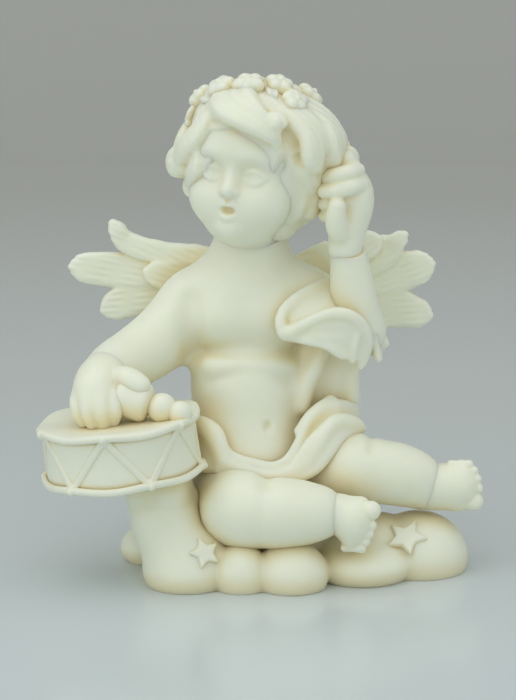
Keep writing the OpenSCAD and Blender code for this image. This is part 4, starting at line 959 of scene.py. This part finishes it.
armDrape = {
    "step": 0.25, "box": ((0, -14, 37), (27, 8, 62)),
    "loop": ((14.6, 2.0, 56.6, 0.9), (11.4, -1.8, 56.2, 1.0), (8.0, -5.0, 55.0, 1.05),
             (5.4, -7.4, 53.0, 1.1), (4.4, -8.8, 50.8, 1.1), (5.0, -9.4, 48.8, 1.1),
             (7.4, -9.8, 48.4, 1.1)),
    "lining": ((14.6, -0.6, 55.4, 2.6, 1.6, -0.4, -1, 0.8), (11.4, -3.6, 53.6, 3.6, 1.8, -0.3, -1, 0.7),
               (9.0, -6.4, 51.2, 3.6, 1.8, -0.1, -1, 0.6), (8.4, -8.2, 48.8, 2.2, 1.4, 0, -1, 0.3)),
    "bowl": ((12.6, -4.6, 50.4), (5.0, 4.2, 3.6)),
    "crest": ((5.2, -9.3, 48.4, 1.2), (8.0, -9.8, 49.8, 1.1), (11.4, -10.0, 51.6, 1.1),
              (15.0, -9.8, 52.6, 1.2), (18.4, -9.0, 51.8, 1.2), (20.8, -7.4, 49.2, 1.2),
              (21.6, -6.4, 46.0, 1.1), (21.0, -6.2, 43.0, 0.9), (20.4, -6.2, 41.0, 0.6)),
    "sheet": ((6.0, -9.2, 47.8, 1.0, 0.8, -0.1, -1, 0), (10.0, -9.8, 48.6, 2.6, 0.9, 0, -1, 0.1),
              (14.4, -9.6, 48.8, 3.8, 0.9, 0.1, -1, 0.1), (18.2, -8.4, 47.0, 4.4, 0.9, 0.3, -1, 0),
              (20.2, -7.0, 44.6, 2.6, 0.8, 0.6, -1, 0), (20.6, -6.2, 42.0, 1.0, 0.7, 0.8, -1, 0)),
    "innerFold": ((19.4, -8.6, 47.6, 0.7), (18.8, -8.6, 45.0, 0.8), (18.6, -8.0, 42.8, 0.7)),
    "pleats": (
        ((8.0, -10.8, 48.0), (12.0, -11.0, 49.0), (16.0, -10.6, 48.6)),
        ((12.0, -10.8, 47.0), (15.6, -10.6, 46.4), (18.0, -9.8, 44.6)),
    ),
    "behind": ((15.6, 1.0, 56.0, 2.4, 1.0, 0.2, 0.4, 1), (18.6, -0.4, 53.4, 3.4, 1.0, 0.7, 0.2, 0.8),
               (21.6, -1.6, 50.0, 3.8, 1.0, 1, 0.1, 0.4), (23.0, -2.6, 46.4, 3.4, 1.0, 1, 0, 0.2),
               (23.6, -3.8, 43.8, 1.8, 0.9, 1, -0.2, 0.3), (24.0, -4.4, 42.2, 0.7, 0.7, 1, -0.2, 0.3)),
}


def makeArmDrape():
    a = armDrape
    clay = Clay(*a["box"], a["step"])
    buildUp(clay, a, (
        (band, "behind", 0), (band, "lining", 1.2), (ball, "bowl", 2.0), (limb, "loop", 1.4),
        (band, "sheet", 0.8), (limb, "crest", 0.8), (limb, "innerFold", 0.6)))
    for pleat in a["pleats"]:
        clay.crease(pleat, 0.9, 0.3)
    castPiece("arm_drape_cast", clay, resin, ["arm_drape"])


makeHipDrape()
makeArmDrape()

# Cloud: puffs of x, y, radius and the height of their tops, around a flat core
cloud = {
    "step": 0.4, "box": ((-31, -32, -1.2), (45, 29, 27)), "seat": 2.6,
    "core": ((2, -3, 1.5), (21, 17, 6.4)),
    "puffs": ((-21.4, -1, 6.4, 7.2), (-14, -18.4, 8.6, 8.8), (-3.3, -21.4, 5.6, 8.8),
              (6.5, -20.4, 7.4, 9.0), (20.6, -12.6, 10.2, 8.0), (24.4, -7.6, 8.4, 11.4),
              (32.0, -7.2, 10.0, 11.6), (25, 6.4, 10, 7), (12, 13.6, 10.6, 7.2), (-2, 15.6, 10.6, 7),
              (-14.6, 9.6, 9.6, 7.2)),
    "pillar": ((-19.4, -14.6, 25, 6.4), (-19.2, -14.8, 17, 6.6), (-17.6, -16.4, 11, 7.0),
               (-15.2, -18.2, 6.0, 7.0)),
    "pillarPuffs": (((-12.2, -18.8, 5.4), 6.2), ((-22.2, -16.6, 18.0), 3.6), ((-17.4, -18.8, 18.6), 3.4),
                    ((-20.4, -18.6, 13.0), 3.8), ((-15.0, -13.0, 15.0), 4.0),
                    ((-21.4, -11.6, 13.4), 4.4)),
    "drumParting": ((-27.4, -16, 21.6), (-0.1045, 0, 0.9945)),
    "floorParting": ((0, 0, 0.02), (0, 0, -1)),
}


def makeCloud():
    c = cloud
    clay = Clay(*c["box"], c["step"])
    clay.add(ball(*c["core"]))
    for x, y, r, top in c["puffs"]:
        clay.add(ball((x, y, c["seat"]), (r, r, top - c["seat"])), 0.8)
    clay.add(limb(c["pillar"]), 2.0)
    for spot, r in c["pillarPuffs"]:
        clay.add(ball(spot, r), 1.6)
    castPiece("cloud_base_cast", clay, resin, ["cloud_base", "drum_pillar"],
              partings=[c["drumParting"], c["floorParting"]])


makeCloud()

# Wreath: blossoms and leaves on a ring that is tilted back. A blossom is a bearing round the ring, the
# ring's spread there and a size. A leaf is a bearing, a spread, the way it points and a length, and one
# also has its own lift and a lean
wreath = {
    "step": 0.22, "box": ((-20, -17, 74), (21, 21, 103)), "centre": (-0.5, 1.4, 82.6),
    "size": (14.2, 14.6, 14.2), "tilt": 30, "lift": 1.4, "backLift": 1.9, "leafLift": 0.7, "petals": 5,
    "stem": 1.3, "stemSpread": 48, "stemLift": 0.3, "droop": 0.9, "leafThick": 0.7, "ribUp": 0.75,
    "outline": ((-0.5, 0.05), (-0.25, 0.2), (0.0, 0.27), (0.22, 0.22), (0.42, 0.08), (0.5, 0.02)),
    "blossoms": ((18, 48, 2.5), (63, 48, 2.6), (108, 48, 2.5), (153, 48, 2.6), (200, 48, 2.4),
                 (236, 50, 2.6), (264, 53, 2.8), (293, 50, 2.5), (302, 68, 2.4), (334, 50, 2.6)),
    "leaves": ((0, 46, 40, 6.4), (2, 52, -50, 6.0), (40, 42, 60, 6.0), (41, 54, -60, 6.0),
               (86, 43, 60, 6.0), (86, 54, -60, 6.0), (130, 43, 60, 6.0), (131, 54, -60, 6.0),
               (176, 42, 60, 5.6), (184, 58, -70, 5.6), (196, 60, -110, 5.0), (218, 44, 50, 5.4),
               (220, 56, -40, 5.2), (252, 44, 70, 5.0), (279, 44, 70, 5.0), (284, 60, -80, 4.8),
               (312, 44, 60, 5.4), (316, 60, -60, 5.4), (350, 60, -80, 7.0),
               (346, 76, -56, 8.4, 2.7, 22)),
}


# The spot on the ring and its own three ways: round the ring, across it and out
def onWreath(bearing, spread, lift):
    w = wreath
    a, b, tilt = math.radians(bearing), math.radians(spread), math.radians(w["tilt"])
    axis = np.array([0, math.sin(tilt), math.cos(tilt)])
    back = np.array([0, math.cos(tilt), -math.sin(tilt)])
    way = axis * math.cos(b) + (np.array([math.cos(a), 0, 0]) + back * math.sin(a)) * math.sin(b)
    out = way / np.array(w["size"])
    out /= np.linalg.norm(out)
    aroundRing = np.array([-math.sin(a), 0, 0]) + back * math.cos(a)
    across = np.cross(out, aroundRing)
    across /= np.linalg.norm(across)
    lift += w["backLift"] * max(0, math.sin(a))
    return np.array(w["centre"]) + way * w["size"] + out * lift, np.cross(across, out), across, out


# The places and sizes of a blossom's forms are shares of its own size; blends and grooves are in mm
def layBlossom(clay, bearing, spread, size):
    spot, right, up, out = onWreath(bearing, spread, wreath["lift"])
    clay.add(ball(spot - out * 0.35 * size, 0.95 * size), 0.8)
    for k in range(wreath["petals"]):
        a = 2 * math.pi * k / wreath["petals"] + math.radians(bearing)
        away = right * math.cos(a) + up * math.sin(a)
        petal = spot + away * size * 0.66 + out * size * 0.04
        clay.add(ball(petal, size * 0.5), 0.9)
        notch = (2 * math.pi * (k + 0.5) / wreath["petals"]) + math.radians(bearing)
        between = right * math.cos(notch) + up * math.sin(notch)
        inner = spot + between * size * 0.5 + out * size * 0.5
        clay.crease((inner, spot + between * size * 1.1), 0.5, 0.16, 1)
    clay.cut(ball(spot + out * size * 0.85, size * 0.34), 0.6)
    clay.add(ball(spot + out * size * 0.5, size * 0.24), 0.3)


def layLeaf(clay, bearing, spread, point, length, lift=None, lean=0):
    w = wreath
    spot, right, up, out = onWreath(bearing, spread, w["lift"] * w["leafLift"] if lift is None else lift)
    a = math.radians(point)
    way = right * math.cos(a) + up * math.sin(a)
    side = np.cross(out, way)
    way = way * math.cos(math.radians(lean)) + out * math.sin(math.radians(lean))
    out = np.cross(way, side)
    stations = []
    for t, wide in w["outline"]:
        drop = -w["droop"] * (2 * t) ** 2
        stations.append(list(spot + way * length * t + out * drop) + [wide * length,
                                                                      w["leafThick"]] + list(out))
    clay.add(band(stations, 2), 0.5)
    rib = []
    for t in (-0.45, -0.15, 0.15, 0.42):
        rib.append(list(spot + way * length * t + out * (w["ribUp"] - w["droop"] * (2 * t) ** 2)))
    clay.crease(rib, 0.4, 0.25)


def makeWreath():
    w = wreath
    clay = Clay(*w["box"], w["step"])
    ring = []
    for a in range(0, 361, 12):
        ring.append(list(onWreath(a, w["stemSpread"], w["stemLift"])[0]) + [w["stem"]])
    clay.add(limb(ring, 1))
    for leaf in w["leaves"]:
        layLeaf(clay, *leaf)
    castPiece("wreath_leaves_cast", clay, resin, ["wreath_leaves"])
    clay = Clay(*w["box"], w["step"])
    for blossom in w["blossoms"]:
        layBlossom(clay, *blossom)
    castPiece("wreath_flowers_cast", clay, resin, ["wreath_flowers"])


makeWreath()

# Drum: turned shell and skins, rolled rims, and flat cords that zigzag between the rims
drum = {
    "centre": (-27.4, -16, 33.1), "tilt": -6, "radius": 15.0, "high": 11.7, "skin": 0.8, "rim": 0.66,
    "rimOut": 15.5, "box": ((-19, -19, -12.5), (19, 19, 2.5)), "draw": 0.012, "waist": 0.35,
    "chamfer": (0.8, 0.3), "flare": 0.2, "sag": 0.25, "sagRise": 0.3, "hoopIn": 0.7, "hoopTall": 1.15,
    "laceIn": 0.1, "laceDip": 0.7, "knot": (0.85, 0.85, 0.8), "knotOut": 0.4,
    "turns": 96, "laces": 6, "lacePhase": -98, "laceWide": 0.8, "laceThick": 0.45, "pull": 0.5,
    "step": 0.25,
}
drumPlace = (Matrix.Translation(Vector(drum["centre"]) * mm)
             @ Matrix.Rotation(math.radians(drum["tilt"]), 4, "Y"))


# Turns an outline of radius and height, in mm, once round the z axis
def turned(name, outline, nodes, place, turns, closed=False, shift=None):
    bm = bmesh.new()
    verts = [bm.verts.new((r * mm, 0, z * mm)) for r, z in outline]
    pairs = list(zip(verts[:-1], verts[1:]))
    if closed:
        pairs.append((verts[-1], verts[0]))
    edges = [bm.edges.new(pair) for pair in pairs]
    bmesh.ops.spin(bm, geom=verts + edges, cent=(0, 0, 0), axis=(0, 0, 1), angle=2 * math.pi, steps=turns,
                   use_merge=True)
    bmesh.ops.remove_doubles(bm, verts=bm.verts[:], dist=1e-6)
    bmesh.ops.recalc_face_normals(bm, faces=bm.faces[:])
    if shift:
        for v in bm.verts:
            v.co = shift(v.co)
    mesh = bpy.data.meshes.new(name)
    bm.to_mesh(mesh)
    bm.free()
    mesh.transform(place)
    mesh.polygons.foreach_set("use_smooth", [True] * len(mesh.polygons))
    return finishPiece(name, mesh, thinResin, nodes)


# The cords draw the rims out a little where they pass over them
def pulled(start):
    d = drum

    def shift(co):
        angle = math.degrees(math.atan2(co.y, co.x))
        wave = math.cos(math.radians(d["laces"] * (angle - start)))
        reach = math.hypot(co.x, co.y) / (d["rimOut"] * mm)
        wider = 1 + d["draw"] * wave * reach
        return Vector((co.x * wider, co.y * wider, co.z + d["pull"] * 0.5 * mm * wave * reach ** 4))

    return shift


def ringOutline(radius, height, tube, steps=16):
    turns = [2 * math.pi * k / steps for k in range(steps)]
    return [(radius + tube * math.cos(t), height + drum["hoopTall"] * tube * math.sin(t)) for t in turns]


def makeDrum():
    d = drum
    r, high, skin = d["radius"], d["high"], d["skin"]
    half = 180 / d["laces"]
    edge, fall = d["chamfer"]
    wall = [(0, -skin), (r - edge, -skin), (r, -skin - fall)]
    for k in range(1, 8):
        waist = d["waist"] * math.sin(math.pi * k / 8)
        wall.append((r + d["flare"] - waist, -skin - fall - (high - 2 * skin - 2 * fall) * k / 8))
    wall += [(r, skin - high + fall), (r - edge, skin - high), (0, skin - high)]
    top = [(r * k / 10, -d["sag"] + d["sagRise"] * (k / 10) ** 6) for k in range(11)]
    top += [(r + 0.5, 0.0), (r + 0.6, -0.4), (r + 0.3, -skin), (0, -skin)]
    bottom = [(0, skin - high), (r + 0.3, skin - high), (r + 0.5, 0.3 - high), (r, 0.05 - high), (0, -high)]
    topHoop = ringOutline(d["rimOut"], -d["hoopIn"], d["rim"])
    bottomHoop = ringOutline(d["rimOut"], d["hoopIn"] - high, d["rim"])
    drawnTop, drawnBottom = pulled(d["lacePhase"]), pulled(d["lacePhase"] + half)
    for part, outline, closed, shift in (
            ("drum_shell", wall, False, None), ("drum_top_skin", top, False, drawnTop),
            ("drum_bottom_skin", bottom, False, drawnBottom), ("drum_top_hoop", topHoop, True, drawnTop),
            ("drum_bottom_hoop", bottomHoop, True, drawnBottom)):
        turned(part + "_cast", outline, [part], drumPlace, d["turns"], closed, shift)

    clay = Clay(*d["box"], d["step"])
    for k in range(d["laces"]):
        start = d["lacePhase"] + k * 360 / d["laces"]
        for side in (-1, 1):
            stations = []
            for t in np.linspace(0, 1, 9):
                a = math.radians(start + side * half * t)
                reach = d["rimOut"] - d["laceIn"] - d["laceDip"] * math.sin(math.pi * t) ** 0.6
                z = -0.8 - (high - 1.6) * t
                stations.append((reach * math.cos(a), reach * math.sin(a), z, d["laceWide"], d["laceThick"],
                                 math.cos(a), math.sin(a), 0))
            clay.add(band(stations, 1), 0.5)
        for turn, z in ((start, -0.6), (start + half, 0.8 - high)):
            a = math.radians(turn)
            reach = d["rimOut"] + d["knotOut"]
            clay.add(ball((reach * math.cos(a), reach * math.sin(a), z), d["knot"]), 0.8)
    castPiece("drum_cord_cast", clay, thinResin, ["drum_cord"], place=drumPlace)


makeDrum()

# Drumsticks, turned: beads are a place along the stick and a diameter, and a barrel also has a length
sticks = {
    "right": {
        "from": (-32, -18.2, 39.4), "to": (-14.6, -22.2, 35.2), "shaft": 2.6,
        "barrel": (0.45, 7.8, 7.2), "beads": ((0.77, 5.8), (0.975, 4.8)),
    },
    "left": {
        "from": (15.4, -6, 68.6), "to": (17.4, -1.6, 83), "shaft": 2.8, "barrel": None,
        "beads": ((0.93, 5.4), (0.0, 3.4)),
    },
    "turns": 40, "samples": 120,
}


def makeStick(side):
    k = sticks[side]
    start, end = Vector(k["from"]), Vector(k["to"])
    length = (end - start).length
    last = max([length] + [length * at + d / 2 for at, d in k["beads"]])
    first = min([0] + [length * at - d / 2 for at, d in k["beads"]])
    outline = []
    for i in range(sticks["samples"] + 1):
        s = first + (last - first) * i / sticks["samples"]
        radius = k["shaft"] / 2 if 0 <= s <= length else 0
        for at, d in k["beads"]:
            away = (s - length * at) / (d / 2)
            radius = max(radius, d / 2 * math.sqrt(max(0, 1 - away * away)))
        if k["barrel"]:
            at, d, long = k["barrel"]
            away = abs(s - length * at) / (long / 2)
            radius = max(radius, d / 2 * max(0, 1 - away ** 6) ** (1 / 3))
        outline.append((radius, s))
    outline[0] = (0, first)
    outline[-1] = (0, last)
    turn = (end - start).to_track_quat("Z", "Y").to_matrix().to_4x4()
    turned(side + "_drumstick_cast", outline, [side + "_drumstick"], Matrix.Translation(start * mm) @ turn,
           sticks["turns"])


for side in ("right", "left"):
    makeStick(side)

# Stars let into the cloud: place, the way they face, how they are turned, and their reach
stars = {
    "inner": 0.5, "thick": 1.2, "bevel": 0.55, "bevelSteps": 4,
    "each": (
        ((-10.5, -23.8, 7.6), (0.3, -0.85, 0.45), 14, 3.4),
        ((29.4, -14.1, 7.9), (-0.1, -0.62, 0.78), -20, 4.4),
    ),
}


def makeStars():
    mesh = bpy.data.meshes.new("stars_cast")
    whole = bmesh.new()
    for centre, facing, turn, reach in stars["each"]:
        bm = bmesh.new()
        points = []
        for k in range(10):
            r = reach if k % 2 == 0 else reach * stars["inner"]
            a = math.radians(turn + 36 * k + 90)
            points.append(bm.verts.new((r * math.cos(a) * mm, r * math.sin(a) * mm, 0)))
        front = bmesh.ops.extrude_face_region(bm, geom=[bm.faces.new(points)])["geom"]
        raised = [v for v in front if isinstance(v, bmesh.types.BMVert)]
        bmesh.ops.translate(bm, verts=raised, vec=(0, 0, stars["thick"] * mm))
        rim = [e for e in bm.edges if any(v.co.z > 0 for v in e.verts)]
        bmesh.ops.bevel(bm, geom=rim, offset=stars["bevel"] * mm, affect="EDGES",
                        segments=stars["bevelSteps"], profile=0.5, material=-1, clamp_overlap=True)
        bmesh.ops.recalc_face_normals(bm, faces=bm.faces[:])
        pose = Vector(facing).to_track_quat("Z", "Y").to_matrix().to_4x4()
        bmesh.ops.transform(bm, matrix=Matrix.Translation(Vector(centre) * mm) @ pose, verts=bm.verts[:])
        bm.to_mesh(mesh)
        bm.free()
        whole.from_mesh(mesh)
    whole.to_mesh(mesh)
    whole.free()
    finishPiece("stars_cast", mesh, thinResin, ["stars"])


makeStars()

# Studio: a grey board swept up behind, with painted shade darker towards the back, and broad soft light
# from above, left and right
studio = {
    "board": "#CFDADC", "boardPaintedShade": "#B1B3AF", "fade": (-0.06, 0.46), "gloss": 0.2,
    "width": 6.0, "near": -1.2, "bend": 0.55, "bendRadius": 0.5, "height": 2.0,
    "target": (0, 0, 43.1), "distance": 600, "elevation": 12, "lens": 154.3, "sensor": 36, "sight": 20,
    "air": "#E9EBEA", "airStrength": 0.9,
    "lamps": {
        "key": ((-0.75, -0.7, 0.22), 0.9, 1.5), "fill": ((0.6, -0.6, 0.42), 0.9, 0.2),
        "top": ((-0.2, -0.15, 0.9), 0.9, 1.8),
    },
}


def makeStudio():
    s = studio
    camera = bpy.data.cameras.new("photo_camera")
    camera.sensor_fit = "VERTICAL"
    camera.sensor_height = s["sensor"]
    camera.lens = s["lens"]
    camera.clip_end = s["sight"]
    eye = bpy.data.objects.new("photo_camera", camera)
    tilt = math.radians(s["elevation"])
    target = Vector(s["target"]) * mm
    eye.location = target + Vector((0, -math.cos(tilt), math.sin(tilt))) * s["distance"] * mm
    eye.rotation_euler = (target - eye.location).to_track_quat("-Z", "Y").to_euler()
    scene.collection.objects.link(eye)
    scene.camera = eye

    boardLook = bpy.data.materials.new("studio_board_with_painted_shade")
    boardLook.use_nodes = True
    tree = boardLook.node_tree
    board = tree.nodes["Principled BSDF"]
    spot = addNode(tree, "ShaderNodeTexCoord")
    # Painted shade: the board's colour runs darker towards the back and up the sweep, where the light falls
    # off
    away = addNode(tree, "ShaderNodeSeparateXYZ", {"Vector": spot.outputs["Object"]})
    fade = addNode(tree, "ShaderNodeMapRange", {
        "Value": away.outputs["Y"], "From Min": s["fade"][0], "From Max": s["fade"][1]})
    paintedFalloff = addNode(tree, "ShaderNodeMix", {
        0: fade.outputs["Result"], 6: linear(s["board"]), 7: linear(s["boardPaintedShade"])}, data_type="RGBA")
    tree.links.new(paintedFalloff.outputs[2], board.inputs["Base Color"])
    board.inputs["Roughness"].default_value = s["gloss"]
    arc = [math.radians(a) for a in range(0, 91, 6)]
    profile = [(s["near"], 0)]
    profile += [(s["bend"] + s["bendRadius"] * math.sin(a),
                 s["bendRadius"] * (1 - math.cos(a))) for a in arc]
    profile.append((s["bend"] + s["bendRadius"], s["height"]))
    bm = bmesh.new()
    line = [bm.verts.new((-s["width"] / 2, y, z)) for y, z in profile]
    edges = [bm.edges.new(pair) for pair in zip(line[:-1], line[1:])]
    swept = bmesh.ops.extrude_edge_only(bm, edges=edges)["geom"]
    moved = [v for v in swept if isinstance(v, bmesh.types.BMVert)]
    bmesh.ops.translate(bm, verts=moved, vec=(s["width"], 0, 0))
    bmesh.ops.recalc_face_normals(bm, faces=bm.faces[:])
    mesh = bpy.data.meshes.new("studio_board")
    bm.to_mesh(mesh)
    bm.free()
    mesh.polygons.foreach_set("use_smooth", [True] * len(mesh.polygons))
    mesh.materials.append(boardLook)
    floor = bpy.data.objects.new("studio_board", mesh)
    scene.collection.objects.link(floor)

    for name, (place, size, power) in s["lamps"].items():
        lamp = bpy.data.lights.new(name, "AREA")
        lamp.size = size
        lamp.energy = power
        holder = bpy.data.objects.new(name, lamp)
        holder.location = place
        holder.rotation_euler = (target - Vector(place)).to_track_quat("-Z", "Y").to_euler()
        scene.collection.objects.link(holder)

    world = bpy.data.worlds.new("studio_air")
    world.use_nodes = True
    air = world.node_tree.nodes["Background"]
    air.inputs["Color"].default_value = linear(s["air"])
    air.inputs["Strength"].default_value = s["airStrength"]
    scene.world = world
    scene.view_settings.view_transform = "Standard"
    print("studio set")


makeStudio()
